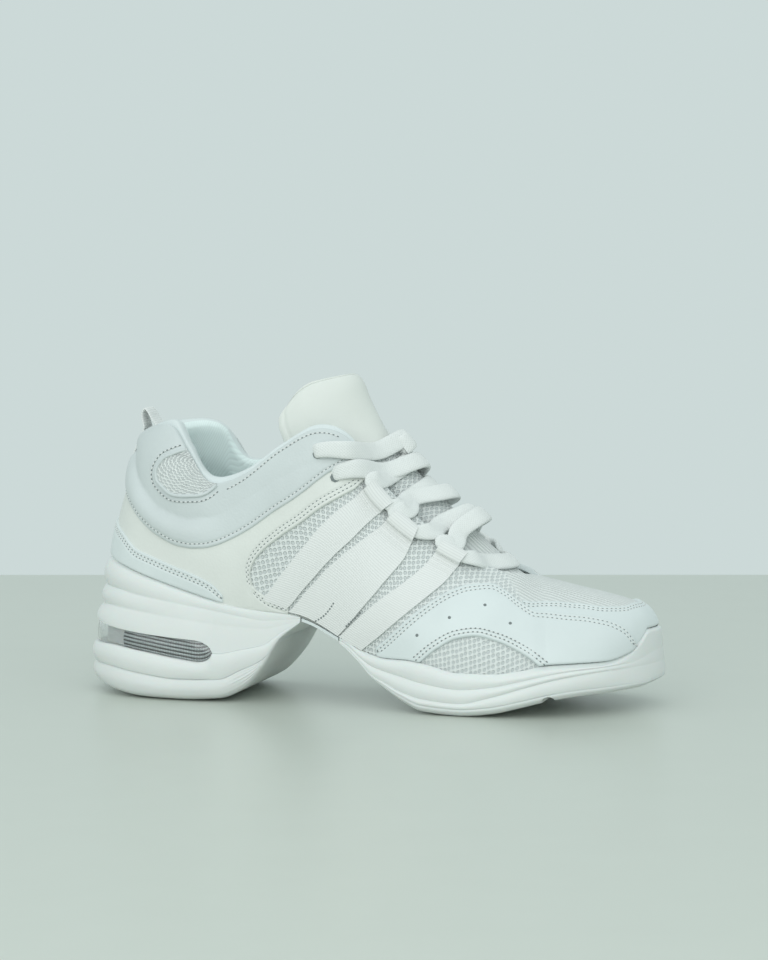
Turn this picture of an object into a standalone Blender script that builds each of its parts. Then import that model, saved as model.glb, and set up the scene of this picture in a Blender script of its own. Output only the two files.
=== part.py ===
"""White split-sole dance sneaker, right shoe, built as separate solids on one last.

Frame: +X toe, +Y medial, +Z up, origin on the floor under the middle of the shoe.
All tables are in millimetres, and ORIGIN is the place in them that becomes the origin.
The last is a ring of columns: row 0 is the middle of the heel, the last row is the tip
of the toe, and each row has a lateral and a medial column that rises from the feather
line to the top edge as one Bezier curve.
"""

import math
from collections import namedtuple

import bmesh
import bpy
import numpy as np
from mathutils import Matrix

MM = 0.001
GAP = 0.4
PANEL_GAP = 0.55
WALL = 2.4
COLLAR_PAD = 5.0
PANEL = 1.0
WEBBING = 1.1
INSOLE_THICKNESS = 4.0
ARCH_COVER_THICKNESS = 2.0
TREAD_LAYER = 3.3
LUG_GROOVE_WIDTH = 2.6
LUG_GROOVE_DEPTH = 1.5
LACE_WIDTH = 6.6
LACE_THICKNESS = 2.4
TAPE_WIDTH = 13.0
LIP_WIDTH = 2.2
RIM_ROUND = 0.28
ROLL_HEIGHT = 2.6
INSOLE_INSET = 3.3
SEAM_STEP = 0.02
COLLAR_EDGE = 0.985
UP = np.array([0.0, 0.0, 1.0])
ORIGIN = np.array([0.2, -1.5, 0.0])

COOL_WHITE = (0.80, 0.83, 0.85)
WARM_WHITE = (0.86, 0.86, 0.83)
MESH_WHITE = (0.78, 0.80, 0.80)
SOLE_WHITE = (0.86, 0.87, 0.87)
LINING_GREY = (0.66, 0.72, 0.72)
WINDOW_GREY = (0.30, 0.32, 0.33)

Section = namedtuple(
    "Section",
    "foot_x lateral_y medial_y foot_z top_x top_lateral_y top_medial_y "
    "top_lateral_z top_medial_z rise flare fall lean",
)
# rise and fall are handle lengths, flare and lean their tilts outwards in degrees.
SECTIONS = [
    Section(-119, 0, 0, 42, -104, 0, 0, 115, 115, 25, 1, 22, 26),
    Section(-116.5, -13, 13, 42, -101, -9.5, 9.5, 117, 117.5, 25, 2, 22, 25),
    Section(-108.5, -23.5, 23.5, 41.5, -94, -18, 18, 119, 120, 24, 4, 24, 21),
    Section(-95, -30, 29.5, 41, -84, -23.5, 23.5, 118, 120, 24, 6, 26, 15),
    Section(-78, -32, 31, 40, -75, -27, 27, 107, 110, 22, 8, 24, 11),
    Section(-60, -32, 29, 40, -65, -28.7, 28.7, 96, 100, 18, 10, 20, 9),
    Section(-40, -31, 27, 39.4, -50, -28.8, 28.8, 99.5, 103.5, 18, 10, 22, 10),
    Section(-22, -31.3, 26.6, 37.2, -33, -27.6, 27.6, 110.5, 113.5, 22, 8, 26, 12),
    Section(-8, -32.5, 28, 31, -15, -25, 25.5, 119.8, 121.5, 28, 8, 30, 12),
    Section(4, -34.5, 30.3, 24.5, -4.5, -22.3, 23.3, 116, 118, 28, 8, 32, 15),
    Section(18, -38, 33.6, 17.3, 6, -20.6, 22, 100, 102, 26, 6, 30, 22),
    Section(34, -42, 37.3, 12.8, 24, -19.2, 21, 82, 83.5, 22, 6, 26, 32),
    Section(50, -43.5, 40.2, 11, 42, -17.8, 19.5, 68.5, 69.5, 20, 6, 22, 44),
    Section(64, -43.5, 40.6, 11.1, 57, -14.5, 17.5, 60, 60.5, 19, 6, 22, 58),
    Section(76, -42, 40, 12, 67.5, -9, 12.5, 57.5, 57.5, 18, 6, 22, 70),
    Section(86, -39, 38.4, 13, 74, 2, 2, 55.5, 55.5, 17, 6, 26, 82),
    Section(97, -34.2, 35, 14.4, 84, 3, 3, 52.9, 52.9, 17, 7, 24, 83),
    Section(108, -26.5, 29.2, 16.5, 94, 4, 4, 50.5, 50.5, 18, 8, 22, 83),
    Section(116.5, -16, 21, 18.5, 101, 5, 5, 48.7, 48.7, 19, 9, 21, 82),
    Section(121.5, -5, 14.5, 19.7, 101, 5, 5, 48.7, 48.7, 20, 10, 21, 81),
    Section(123.5, 6, 6, 20, 101, 5, 5, 48.7, 48.7, 20, 11, 21, 80),
]
TOE_ROW = len(SECTIONS) - 1
RING = 2 * TOE_ROW
THROAT_ROW = 15
POLE_ROW = 18
POLE_NORMAL = np.array([0.2, 0.0, 0.98])

Heel = namedtuple("Heel", "row bottom split slot_low slot_high groove_2 groove_1 lip swell")
HEEL = [
    Heel(0, 0, 13.5, 21.5, 30.5, 39, 47.5, 61, 1.28),
    Heel(1, 0, 13.5, 22, 30.3, 39.2, 47.5, 60.5, 1.2),
    Heel(2, 0, 13.3, 22.5, 29.8, 39.5, 47, 58, 1.05),
    Heel(3, 0, 11.5, 21.3, 29, 38.3, 45, 54, 1.0),
    Heel(4, 0, 9.8, 19, 28, 36, 42.5, 49, 0.95),
    Heel(5, 0.3, 9.8, 17.2, 27, 34, 39.5, 43.8, 0.8),
    Heel(5.5, 5.5, 14.5, 19.5, 27, 33, 37.5, 41.6, 0.6),
    Heel(6, 16, 19.5, 23, 28, 32.5, 36, 40.2, 0.45),
    Heel(6.4, 28, 28.8, 30, 32, 34, 36.5, 39.6, 0.3),
    Heel(6.9, 35.4, 35.7, 36, 36.4, 36.8, 37.2, 38.2, 0.2),
]
SLOT_END_ROW = 5.0
SLOT_FULL_ROW = 4.7
SLOT_DEPTH = 5.0

Forefoot = namedtuple("Forefoot", "row bottom groove_low groove_high lip swell")
FOREFOOT = [
    Forefoot(8.2, 27, 27.8, 28.7, 30.3, 0.25),
    Forefoot(8.6, 23.4, 24.9, 26.3, 28.6, 0.4),
    Forefoot(9, 19.5, 21, 22.6, 25.6, 0.55),
    Forefoot(9.5, 13.2, 15, 18.8, 23.4, 0.75),
    Forefoot(10, 6.6, 10.4, 16.5, 22.5, 0.9),
    Forefoot(10.5, 1.4, 5.8, 14.6, 22.5, 1),
    Forefoot(11, 0, 4.9, 12.8, 21.6, 1),
    Forefoot(12, 0, 5.6, 11.5, 18.3, 1),
    Forefoot(13, 0.4, 8.8, 13, 18.4, 1),
    Forefoot(14, 3.2, 12.6, 15.8, 20, 1),
    Forefoot(15, 6, 15.6, 18.2, 22, 1),
    Forefoot(16, 8.2, 18, 20.2, 22.6, 1),
    Forefoot(17, 9.6, 19.6, 21.3, 23.2, 1.05),
    Forefoot(18, 10.2, 20.2, 22.2, 26, 1.15),
    Forefoot(19, 10.5, 20.4, 25, 33, 1.3),
    Forefoot(20, 10.5, 20.5, 26, 36, 1.35),
]
FOREFOOT_TREAD_REAR_ROW = 9.0
ARCH_ROWS = (6.94, 7.25, 7.55, 7.85, 8.16)

Tongue = namedtuple("Tongue", "x z half_width drop thickness")
TONGUE = [
    Tongue(77, 49.6, 13, 4, 3),
    Tongue(67, 55.6, 18.5, 14, 3.5),
    Tongue(52, 68, 20, 26, 4),
    Tongue(37, 81.5, 20.5, 32, 4.5),
    Tongue(23, 95, 20.5, 36, 5),
    Tongue(13, 105.5, 20.5, 38, 5.5),
    Tongue(7, 113.5, 20, 38, 6),
    Tongue(2, 122, 20, 38, 6),
    Tongue(-2.5, 131, 20, 37, 6),
    Tongue(-5.5, 138, 19.5, 37, 5.5),
    Tongue(-9, 142.4, 14, 28, 4),
]
TONGUE_WRAP = math.radians(84)

# Panel edges on the last: row along the ring, share of the way from feather to top edge.
COUNTER_TOP = [
    (0, 0.45), (0.8, 0.43), (1.9, 0.38), (2.7, 0.305), (3.5, 0.28), (4.2, 0.26),
    (4.6, 0.24), (4.9, 0.2), (5.1, 0.13),
]
COLLAR_LOW = [
    (0, 0.76), (0.7, 0.7), (1.3, 0.6), (2.1, 0.52), (2.7, 0.44), (3.3, 0.4), (4, 0.4),
    (4.6, 0.46), (5.1, 0.52), (5.6, 0.58), (6.3, 0.64), (7.6, 0.7), (8.5, 0.8), (9.3, 0.93),
]
COLLAR_SEAM = [(row, share - SEAM_STEP) for row, share in COLLAR_LOW[1:]]
ROLL_GROOVE = [(0, 0.87), (1, 0.82), (2, 0.68), (2.5, 0.61), (3.2, 0.55), (4, 0.58), (4.8, 0.7), (6, 0.82)]
QUARTER_LOW = [
    (0.6, 0.47), (1.9, 0.4), (2.7, 0.325), (3.5, 0.3), (4.2, 0.28), (4.9, 0.22), (5.15, 0.1),
    (5.75, 0.16), (5.78, 0.3), (6.1, 0.4), (6.5, 0.46), (7.1, 0.52), (7.8, 0.57), (8.7, 0.72), (9.55, 0.88),
]
GUARD_TOP = [
    (9.5, 0.06), (10.3, 0.24), (11.2, 0.48), (12, 0.68), (12.5, 0.78), (13.1, 0.84), (13.5, 0.79),
    (14, 0.67), (14.6, 0.54), (15.6, 0.5), (16.4, 0.48), (17.1, 0.46), (17.6, 0.42), (20, 0.42),
]
HALF_MOON = [
    (10.9, 0.12), (11.5, 0.26), (12.1, 0.36), (12.7, 0.4), (13.2, 0.37), (13.9, 0.28), (14.7, 0.16),
]
WING_LOW = [
    (14.2, 0.665), (14.8, 0.57), (15.6, 0.54), (16.4, 0.52), (17.1, 0.5), (17.6, 0.465), (20, 0.46),
]
WING_TOP = [(14.2, 0.68), (15, 0.66), (16.3, 0.65), (17, 0.64), (18, 0.67), (20, 0.7)]
# Each strap: its upper edge and its lower edge, from the throat down to the feather.
STRAPS = [
    ([(10, 0.98), (8.5, 0.58), (7.4, 0.4), (6.7, 0.29), (6.2, 0.14)],
     [(10.5, 0.98), (9.3, 0.58), (8.4, 0.42), (7.6, 0.31), (6.75, 0.13)]),
    ([(10.68, 0.98), (9.5, 0.55), (8.4, 0.36), (7.4, 0.2), (6.95, 0.06)],
     [(11.15, 0.98), (10.3, 0.53), (9.4, 0.29), (8.9, 0.18), (8.35, 0.06)]),
    ([(11.6, 0.98), (10.8, 0.56), (9.8, 0.29), (9.1, 0.17), (8.5, 0.06)],
     [(12.1, 0.98), (11.2, 0.53), (10.3, 0.29), (9.75, 0.17), (9.15, 0.07)]),
]
# Tongue stations at which the lace turns, from the top eyelets down to the last strap loops.
LACE_TURNS = (6.3, 5.6, 4.75, 3.75, 2.6)
LACE_SIDE = 0.6
LOOP_RADII = (4.4, 3.1)
TONGUE_SHIFT = 2.0


def ring_rows():
    """One row of numbers per column of the ring: lateral rows, then medial rows back to the heel."""
    rows = []
    for k in range(RING):
        section = SECTIONS[min(k, RING - k)]
        if k <= TOE_ROW:
            side = (section.lateral_y, section.top_lateral_y, section.top_lateral_z)
        else:
            side = (section.medial_y, section.top_medial_y, section.top_medial_z)
        foot = (section.foot_x, side[0], section.foot_z)
        top = (section.top_x, side[1], side[2])
        rows.append(foot + top + (section.rise, section.flare, section.fall, section.lean))
    return np.array(rows, float)


ROWS = ring_rows()


def on_ring(r):
    """The table's values at ring place r, on a closed Catmull-Rom curve."""
    k = math.floor(r)
    f = r - k
    a, b, c, d = (ROWS[(k + i) % RING] for i in (-1, 0, 1, 2))
    return 0.5 * (2 * b + (c - a) * f + (2 * a - 5 * b + 4 * c - d) * f**2 + (3 * b - a - 3 * c + d) * f**3)


def row_of(r):
    r = r % RING
    return min(r, RING - r)


def ring_place(row, medial):
    return RING - row if medial else row


def outward(r):
    step = 0.02
    along = on_ring(r + step)[:2] - on_ring(r - step)[:2]
    return np.array([along[1], -along[0], 0.0]) / np.linalg.norm(along)


def foot(r):
    return on_ring(r)[:3]


def last_point(r, v):
    """The outside of the upper at ring place r and share v of the way up."""
    value = on_ring(r)
    start = value[:3]
    end = value[3:6]
    if row_of(r) >= POLE_ROW:
        end = ROWS[POLE_ROW][3:6]
    elif row_of(r) >= THROAT_ROW:
        end = 0.5 * (end + on_ring(RING - r)[3:6])
    out = outward(r)
    rise, flare, fall, lean = value[6:]
    flare = math.radians(flare)
    lean = math.radians(lean)
    low = start + rise * (math.sin(flare) * out + math.cos(flare) * UP)
    high = end + fall * (math.sin(lean) * out - math.cos(lean) * UP)
    w = 1 - v
    return w**3 * start + 3 * w * w * v * low + 3 * w * v * v * high + v**3 * end


def side_normal(r, v):
    step = 0.02
    v = min(max(v, step), 1 - step)
    along = last_point(r + step, v) - last_point(r - step, v)
    rising = last_point(r, v + step) - last_point(r, v - step)
    normal = np.cross(along, rising)
    return normal / np.linalg.norm(normal)


def last_normal(r, v):
    if v > 0.97 and row_of(r) >= POLE_ROW - 0.01:
        return POLE_NORMAL / np.linalg.norm(POLE_NORMAL)
    normal = side_normal(r, v)
    if v > 0.99 and row_of(r) >= THROAT_ROW:
        normal = normal + side_normal(RING - r, v)
    return normal / np.linalg.norm(normal)


def off_last(r, v, offset):
    return last_point(r, v) + offset * last_normal(r, v)


def height_share(r, z):
    """The share v at which the column at r reaches height z."""
    low, high = 0.0, 1.0
    for _ in range(30):
        mid = 0.5 * (low + high)
        if last_point(r, mid)[2] < z:
            low = mid
        else:
            high = mid
    return low


def along_table(table, column, row):
    """A table's column at a row, interpolated between its rows."""
    rows = [entry.row for entry in table]
    return float(np.interp(row, rows, [getattr(entry, column) for entry in table]))


def edge_share(edge, row):
    return float(np.interp(row, [e[0] for e in edge], [e[1] for e in edge]))


def along_edge(edge, t):
    """A place on a polyline of (row, share) pairs at t of its length in rows and shares."""
    steps = [0.0]
    for (row_a, share_a), (row_b, share_b) in zip(edge, edge[1:]):
        steps.append(steps[-1] + math.hypot(row_b - row_a, 6 * (share_b - share_a)))
    places = np.array(steps) / steps[-1]
    return np.array([np.interp(t, places, [e[k] for e in edge]) for k in (0, 1)])


def paint(obj, color, roughness):
    material = bpy.data.materials.new(obj.name)
    material.use_nodes = True
    shader = material.node_tree.nodes["Principled BSDF"]
    shader.inputs["Base Color"].default_value = (*color, 1.0)
    shader.inputs["Roughness"].default_value = roughness
    shader.inputs["Metallic"].default_value = 0.0
    obj.data.materials.append(material)


def solid(name, points, faces, color, roughness):
    """A named closed mesh from points in millimetres."""
    mesh = bpy.data.meshes.new(name)
    mesh.from_pydata([tuple(MM * (p - ORIGIN)) for p in np.asarray(points)], [], faces)
    shape = bmesh.new()
    shape.from_mesh(mesh)
    bmesh.ops.remove_doubles(shape, verts=shape.verts, dist=0.02 * MM)
    bmesh.ops.dissolve_degenerate(shape, edges=shape.edges, dist=0.01 * MM)
    bmesh.ops.recalc_face_normals(shape, faces=shape.faces)
    shape.to_mesh(mesh)
    shape.free()
    mesh.shade_smooth()
    mesh.set_sharp_from_angle(angle=math.radians(40))
    obj = bpy.data.objects.new(name, mesh)
    bpy.context.scene.collection.objects.link(obj)
    paint(obj, color, roughness)
    return obj


def grid_faces(rows, columns, start=0, closed=False):
    faces = []
    for i in range(rows - 1):
        for j in range(columns if closed else columns - 1):
            k = (j + 1) % columns
            faces.append([start + i * columns + j, start + i * columns + k,
                          start + (i + 1) * columns + k, start + (i + 1) * columns + j])
    return faces


def sheet_solid(name, outer, inner, color, roughness):
    """A closed sheet between two grids of points of the same size."""
    outer = np.asarray(outer, float)
    inner = np.asarray(inner, float)
    rows, columns = outer.shape[:2]
    back = rows * columns
    points = np.concatenate([outer.reshape(-1, 3), inner.reshape(-1, 3)])
    faces = grid_faces(rows, columns)
    faces += [face[::-1] for face in grid_faces(rows, columns, back)]
    rim = [j for j in range(columns)]
    rim += [i * columns + columns - 1 for i in range(1, rows)]
    rim += [(rows - 1) * columns + j for j in range(columns - 2, -1, -1)]
    rim += [i * columns for i in range(rows - 2, 0, -1)]
    for a, b in zip(rim, rim[1:] + rim[:1]):
        faces.append([a, b, back + b, back + a])
    return solid(name, points, faces, color, roughness)


def loft(name, loops, color, roughness, caps):
    """A solid through closed loops of equal length. caps says which ends get a face."""
    loops = np.asarray(loops, float)
    count, size = loops.shape[:2]
    faces = grid_faces(count, size, closed=True)
    if caps[0]:
        faces.append(list(range(size)))
    if caps[1]:
        faces.append([(count - 1) * size + k for k in range(size - 1, -1, -1)])
    return solid(name, loops.reshape(-1, 3), faces, color, roughness)


def panel(name, edges, color, medial, thickness=None, rows=4, columns=12):
    """A sheet on the upper between two edges, each a function of t giving a row and a share."""
    outer = []
    inner = []
    for t in np.linspace(0, 1, columns):
        low = edges[0](t)
        high = edges[1](t)
        line_out = []
        line_in = []
        for s in np.linspace(0, 1, rows):
            row, share = (1 - s) * low + s * high
            r = ring_place(row, medial(t) if callable(medial) else medial)
            lift = PANEL if thickness is None else thickness(row, share, s)
            line_in.append(off_last(r, share, PANEL_GAP))
            line_out.append(off_last(r, share, PANEL_GAP + lift))
        outer.append(line_out)
        inner.append(line_in)
    return sheet_solid(name, outer, inner, color, 0.45)


def wall_thickness(r, v):
    """Wall of the upper, thicker where the collar is padded."""
    around = np.interp(row_of(r), [5.5, 7.5], [1, 0])
    rising = np.interp(v, [0.55, 0.8], [0, 1])
    return WALL + COLLAR_PAD * around * rising


def make_upper():
    """The hollow shell, open underneath and from the collar to the bottom of the throat."""
    rows = [row for row in np.arange(0, TOE_ROW + 0.01, 0.5)]
    places = rows + [RING - row for row in rows[-2:0:-1]]
    shares = (0, 0.1, 0.25, 0.4, 0.55, 0.7, 0.83, 0.94, 1)
    count = len(places)
    points = [last_point(r, v) for v in shares for r in places]
    points += [off_last(r, v, -wall_thickness(r, v)) for v in shares for r in places]
    levels = len(shares)
    inside = levels * count
    faces = grid_faces(levels, count, closed=True)
    faces += [face[::-1] for face in grid_faces(levels, count, inside, closed=True)]
    top = (levels - 1) * count
    crown = len(points)
    for part in (0.3, 0.7):
        for j in range(count):
            edge = points[top + j]
            lining = points[inside + top + j]
            width = np.linalg.norm(edge - lining)
            points.append((1 - part) * edge + part * lining + RIM_ROUND * width * UP)
    for j in range(count):
        k = (j + 1) % count
        faces.append([j, inside + j, inside + k, k])
        if row_of(places[j]) > THROAT_ROW or row_of(places[k]) > THROAT_ROW:
            continue
        strips = [top, crown, crown + count, inside + top]
        for a, b in zip(strips, strips[1:]):
            faces.append([a + j, a + k, b + k, b + j])
    return solid("upper", points, faces, MESH_WHITE, 0.8)


def inner_wall(r, lip):
    """Points down the inside of a sole's rim, against the upper, from the lip to the floor."""
    share = height_share(r, lip)
    walls = [off_last(r, share * part, GAP) for part in (1, 0.5, 0)]
    floor = foot(r) + outward(r) * GAP - UP * GAP
    return walls + [floor]


def side_point(r, offset, z):
    place = foot(r) + outward(r) * offset
    place[2] = z
    return place


def lip_offset(r, lip):
    share = height_share(r, lip)
    return float(np.dot(last_point(r, share) - foot(r), outward(r)))


def heel_side(r):
    """Outer profile of the heel unit at a column, from its lip down to the tread."""
    row = row_of(r)
    line = {name: along_table(HEEL, name, row) for name in Heel._fields[1:]}
    swell = line["swell"]
    lip = lip_offset(r, line["lip"])
    edge = lip + LIP_WIDTH * min(1, swell + 0.2)
    depth = SLOT_DEPTH * np.interp(row, [SLOT_FULL_ROW, SLOT_END_ROW], [1, 0])
    groove = 0.5 * (line["slot_high"] + line["groove_2"])
    slot = (line["slot_low"], line["slot_high"])
    return [
        side_point(r, edge, line["lip"] - 0.9 * swell),
        side_point(r, max(edge, 4.2 * swell), 0.5 * (line["lip"] + line["groove_1"])),
        side_point(r, 2.8 * swell, line["groove_1"]),
        side_point(r, 4.8 * swell, 0.5 * (line["groove_1"] + line["groove_2"])),
        side_point(r, 3.7 * swell, line["groove_2"]),
        side_point(r, 6.2 * swell, groove),
        side_point(r, 5.8 * swell, slot[1]),
        side_point(r, 5.8 * swell - depth, slot[1] - 0.2),
        side_point(r, 6.6 * swell - depth, slot[0] + 0.2),
        side_point(r, 6.6 * swell, slot[0]),
        side_point(r, 7.6 * swell, 0.5 * (line["split"] + slot[0])),
        side_point(r, 6.7 * swell, line["split"]),
    ]


def cup_loop(row, side, lip):
    """A closed loop round a sole unit at a row: both sides, the underside and the floor of the cup."""
    loop = []
    lateral = ring_place(row, False)
    medial = ring_place(row, True)
    wall_a = inner_wall(lateral, lip)
    wall_b = inner_wall(medial, lip)
    loop += [wall_a[0]] + side(lateral)
    loop += side(medial)[::-1] + wall_b
    loop += wall_a[:0:-1]
    return loop


def make_heel_sole():
    rows = [6.9, 6.65, 6.4, 6.1, 5.8, 5.5, 5.25, 5, 4.85, 4.7, 4.35, 4, 3.5, 3, 2.5, 2]
    rows += [1.6, 1.2, 0.8, 0.4, 0]
    loops = [cup_loop(row, heel_side, along_table(HEEL, "lip", row)) for row in rows]
    return loft("heel_sole", loops, SOLE_WHITE, 0.4, (True, False))


def tread_loop(row, profile):
    lateral = profile(ring_place(row, False))
    medial = profile(ring_place(row, True))
    return lateral + medial[::-1]


def heel_tread_side(r):
    row = row_of(r)
    bottom = along_table(HEEL, "bottom", row)
    top = along_table(HEEL, "split", row) - GAP
    swell = along_table(HEEL, "swell", row)
    tall = top - bottom
    return [
        side_point(r, 6.5 * swell, top),
        side_point(r, 7.5 * swell, bottom + 0.62 * tall),
        side_point(r, 6.6 * swell, bottom + 0.3 * tall),
        side_point(r, 4.2 * swell, bottom + 0.1 * tall),
        side_point(r, -0.5 * swell, bottom),
    ]


def cut(obj, cutter):
    cutter.hide_render = True
    cutter.display_type = "WIRE"
    boolean = obj.modifiers.new("cut " + cutter.name, "BOOLEAN")
    boolean.operation = "DIFFERENCE"
    boolean.solver = "EXACT"
    boolean.object = cutter


def bar_cutter(name, bars):
    """One mesh of separate boxes, each given by its middle, size and pitch in degrees."""
    shape = bmesh.new()
    for middle, size, pitch in bars:
        place = Matrix.Translation(MM * (np.array(middle) - ORIGIN))
        turn = Matrix.Rotation(math.radians(pitch), 4, "Y")
        stretch = Matrix.Diagonal([MM * s for s in size]).to_4x4()
        bmesh.ops.create_cube(shape, size=1.0, matrix=place @ turn @ stretch)
    mesh = bpy.data.meshes.new(name)
    shape.to_mesh(mesh)
    shape.free()
    cutter = bpy.data.objects.new(name, mesh)
    bpy.context.scene.collection.objects.link(cutter)
    return cutter


def make_heel_outsole():
    rows = [6.1, 5.8, 5.5, 5.25, 5, 4.5, 4, 3.5, 3, 2.5, 2, 1.6, 1.2, 0.8, 0.4, 0]
    loops = [tread_loop(row, heel_tread_side) for row in rows]
    obj = loft("heel_outsole", loops, SOLE_WHITE, 0.5, (True, False))
    groove = (LUG_GROOVE_WIDTH, 40, 2 * LUG_GROOVE_DEPTH)
    bars = [((x, 0, 0), groove, 0) for x in (-103, -93, -83, -73, -63)]
    cut(obj, bar_cutter("heel lug grooves", bars))
    return obj


def make_cushion_window():
    """Clear insert that lies in the heel unit's slot, from side to side round the back."""
    places = [ring_place(row, False) for row in (4.66, 4.35, 4, 3.5, 3, 2.5, 2, 1.6, 1.2, 0.8, 0.4, 0)]
    places += [ring_place(row, True) for row in (0.4, 0.8, 1.2, 1.6, 2, 2.5, 3, 3.5, 4, 4.35, 4.66)]
    outer = []
    inner = []
    for r in places:
        row = row_of(r)
        low = along_table(HEEL, "slot_low", row) + 0.2 + GAP
        high = along_table(HEEL, "slot_high", row) - 0.2 - GAP
        swell = along_table(HEEL, "swell", row)
        heights = (low, 0.5 * (low + high), high)
        face = (6.4 * swell - 1.6, 6.2 * swell - 0.8, 5.8 * swell - 1.4)
        back = [offset - SLOT_DEPTH + 2 * GAP for offset in (6.6 * swell, 6.2 * swell, 5.8 * swell)]
        outer.append([side_point(r, o, z) for o, z in zip(face, heights)])
        inner.append([side_point(r, o, z) for o, z in zip(back, heights)])
    return sheet_solid("cushion_window", outer, inner, WINDOW_GREY, 0.15)


def forefoot_side(r):
    """Outer profile of the forefoot unit at a column, from its lip down to the tread layer."""
    row = row_of(r)
    line = {name: along_table(FOREFOOT, name, row) for name in Forefoot._fields[1:]}
    swell = line["swell"]
    edge = lip_offset(r, line["lip"]) + LIP_WIDTH * min(1, swell + 0.1)
    split = forefoot_split(row)
    return [
        side_point(r, edge, line["lip"] - 0.8 * min(1, swell)),
        side_point(r, max(edge, 3.6 * swell), 0.5 * (line["lip"] + line["groove_high"])),
        side_point(r, 2.6 * swell, line["groove_high"]),
        side_point(r, 3.9 * swell, 0.5 * (line["groove_high"] + line["groove_low"])),
        side_point(r, 3.1 * swell, line["groove_low"]),
        side_point(r, 4.2 * swell, 0.5 * (line["groove_low"] + split)),
        side_point(r, 3.4 * swell, split),
    ]


def forefoot_split(row):
    bottom = along_table(FOREFOOT, "bottom", row)
    low = along_table(FOREFOOT, "groove_low", row)
    layer = np.interp(row, [FOREFOOT_TREAD_REAR_ROW, 10.5], [0.8, TREAD_LAYER])
    return min(bottom + layer, low - 0.4)


def make_forefoot_sole():
    rows = [8.2, 8.6, 9, 9.5, 10, 10.5, 11, 11.5, 12, 12.5, 13, 13.5, 14, 14.5, 15, 15.5, 16, 16.5, 17]
    rows += [17.5, 18, 18.5, 19, 19.5, 20]
    loops = [cup_loop(row, forefoot_side, along_table(FOREFOOT, "lip", row)) for row in rows]
    return loft("forefoot_sole", loops, SOLE_WHITE, 0.4, (True, False))


def forefoot_tread_side(r):
    row = row_of(r)
    bottom = along_table(FOREFOOT, "bottom", row)
    top = forefoot_split(row) - 0.75 * GAP
    swell = along_table(FOREFOOT, "swell", row)
    return [
        side_point(r, 3.2 * swell, top),
        side_point(r, 2.2 * swell, bottom + 0.35 * (top - bottom)),
        side_point(r, -0.5 * swell, bottom),
    ]


def make_forefoot_outsole():
    rows = [9.4, 9.7, 10, 10.5, 11, 11.5, 12, 12.5, 13, 13.5, 14, 14.5, 15, 15.5, 16, 16.5, 17, 17.5, 18]
    rows += [18.5, 19, 19.5, 20]
    loops = [tread_loop(row, forefoot_tread_side) for row in rows]
    obj = loft("forefoot_outsole", loops, SOLE_WHITE, 0.5, (True, False))
    bars = []
    for x, z, pitch, width in ((33, 0, 0, 52), (43, 0, 0, 54), (53, 0, 0, 54), (63, 0.4, -8, 52),
                               (74, 2.6, -14, 48), (99, 8.4, -8, 30), (109, 9.6, -5, 22)):
        bars.append(((x, 0, z), (LUG_GROOVE_WIDTH, width, 2 * LUG_GROOVE_DEPTH), pitch))
    bars.append(((87.5, 0, 6), (5, 96, 4.4), -10))
    cut(obj, bar_cutter("forefoot lug grooves", bars))
    return obj


def make_arch_cover():
    loops = []
    for row in ARCH_ROWS:
        a = foot(ring_place(row, False)) - UP * GAP
        b = foot(ring_place(row, True)) - UP * GAP
        low = UP * ARCH_COVER_THICKNESS
        middle = 0.5 * (a + b) - 0.5 * low
        loops.append([a, b, b - low, middle - low, a - low])
    return loft("arch_cover", loops, SOLE_WHITE, 0.6, (True, True))


def make_insole():
    rows = [0, 0.5, 1, 1.5, 2, 3, 4, 5, 6, 6.4, 6.9, 7.5, 8.2, 8.6, 9, 9.5, 10]
    rows += [11, 12, 13, 14, 15, 16, 17, 18, 19, 19.5, 20]
    loops = []
    for row in rows:
        sides = []
        for medial in (False, True):
            r = ring_place(row, medial)
            edge = foot(r) - outward(r) * INSOLE_INSET + UP * 0.1
            sides.append((edge, edge + UP * INSOLE_THICKNESS - outward(r) * 0.4))
        (a_low, a_high), (b_low, b_high) = sides
        loops.append([a_low, b_low, b_high, a_high])
    return loft("insole", loops, LINING_GREY, 0.85, (False, False))


def tongue_frame(t):
    """Middle, forward normal, half width, drop and thickness of the tongue at station t."""
    k = min(int(t), len(TONGUE) - 2)
    f = t - k
    table = np.array(TONGUE, float)
    value = (1 - f) * table[k] + f * table[k + 1]
    before = table[max(k - (f == 0), 0)]
    after = table[k + 1]
    along = np.array([after[0] - before[0], 0, after[1] - before[1]])
    along /= np.linalg.norm(along)
    forward = np.array([along[2], 0, -along[0]])
    return np.array([value[0], 0, value[1]]), forward, value[2], value[3], value[4]


def tongue_point(t, angle, depth=0.0):
    middle, forward, half_width, drop, _ = tongue_frame(t)
    across = (half_width - depth) * math.sin(angle)
    back = drop - (drop - depth) * math.cos(angle)
    return middle + np.array([0, TONGUE_SHIFT + across, 0]) - back * forward


def make_tongue():
    outer = []
    inner = []
    angles = np.linspace(-TONGUE_WRAP, TONGUE_WRAP, 11)
    for t in range(len(TONGUE)):
        thickness = TONGUE[t].thickness
        depths = [thickness * (0.4 + 0.6 * math.cos(0.9 * a)) for a in angles]
        outer.append([tongue_point(t, a) for a in angles])
        inner.append([tongue_point(t, a, d) for a, d in zip(angles, depths)])
    return sheet_solid("tongue", outer, inner, WARM_WHITE, 0.6)


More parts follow.
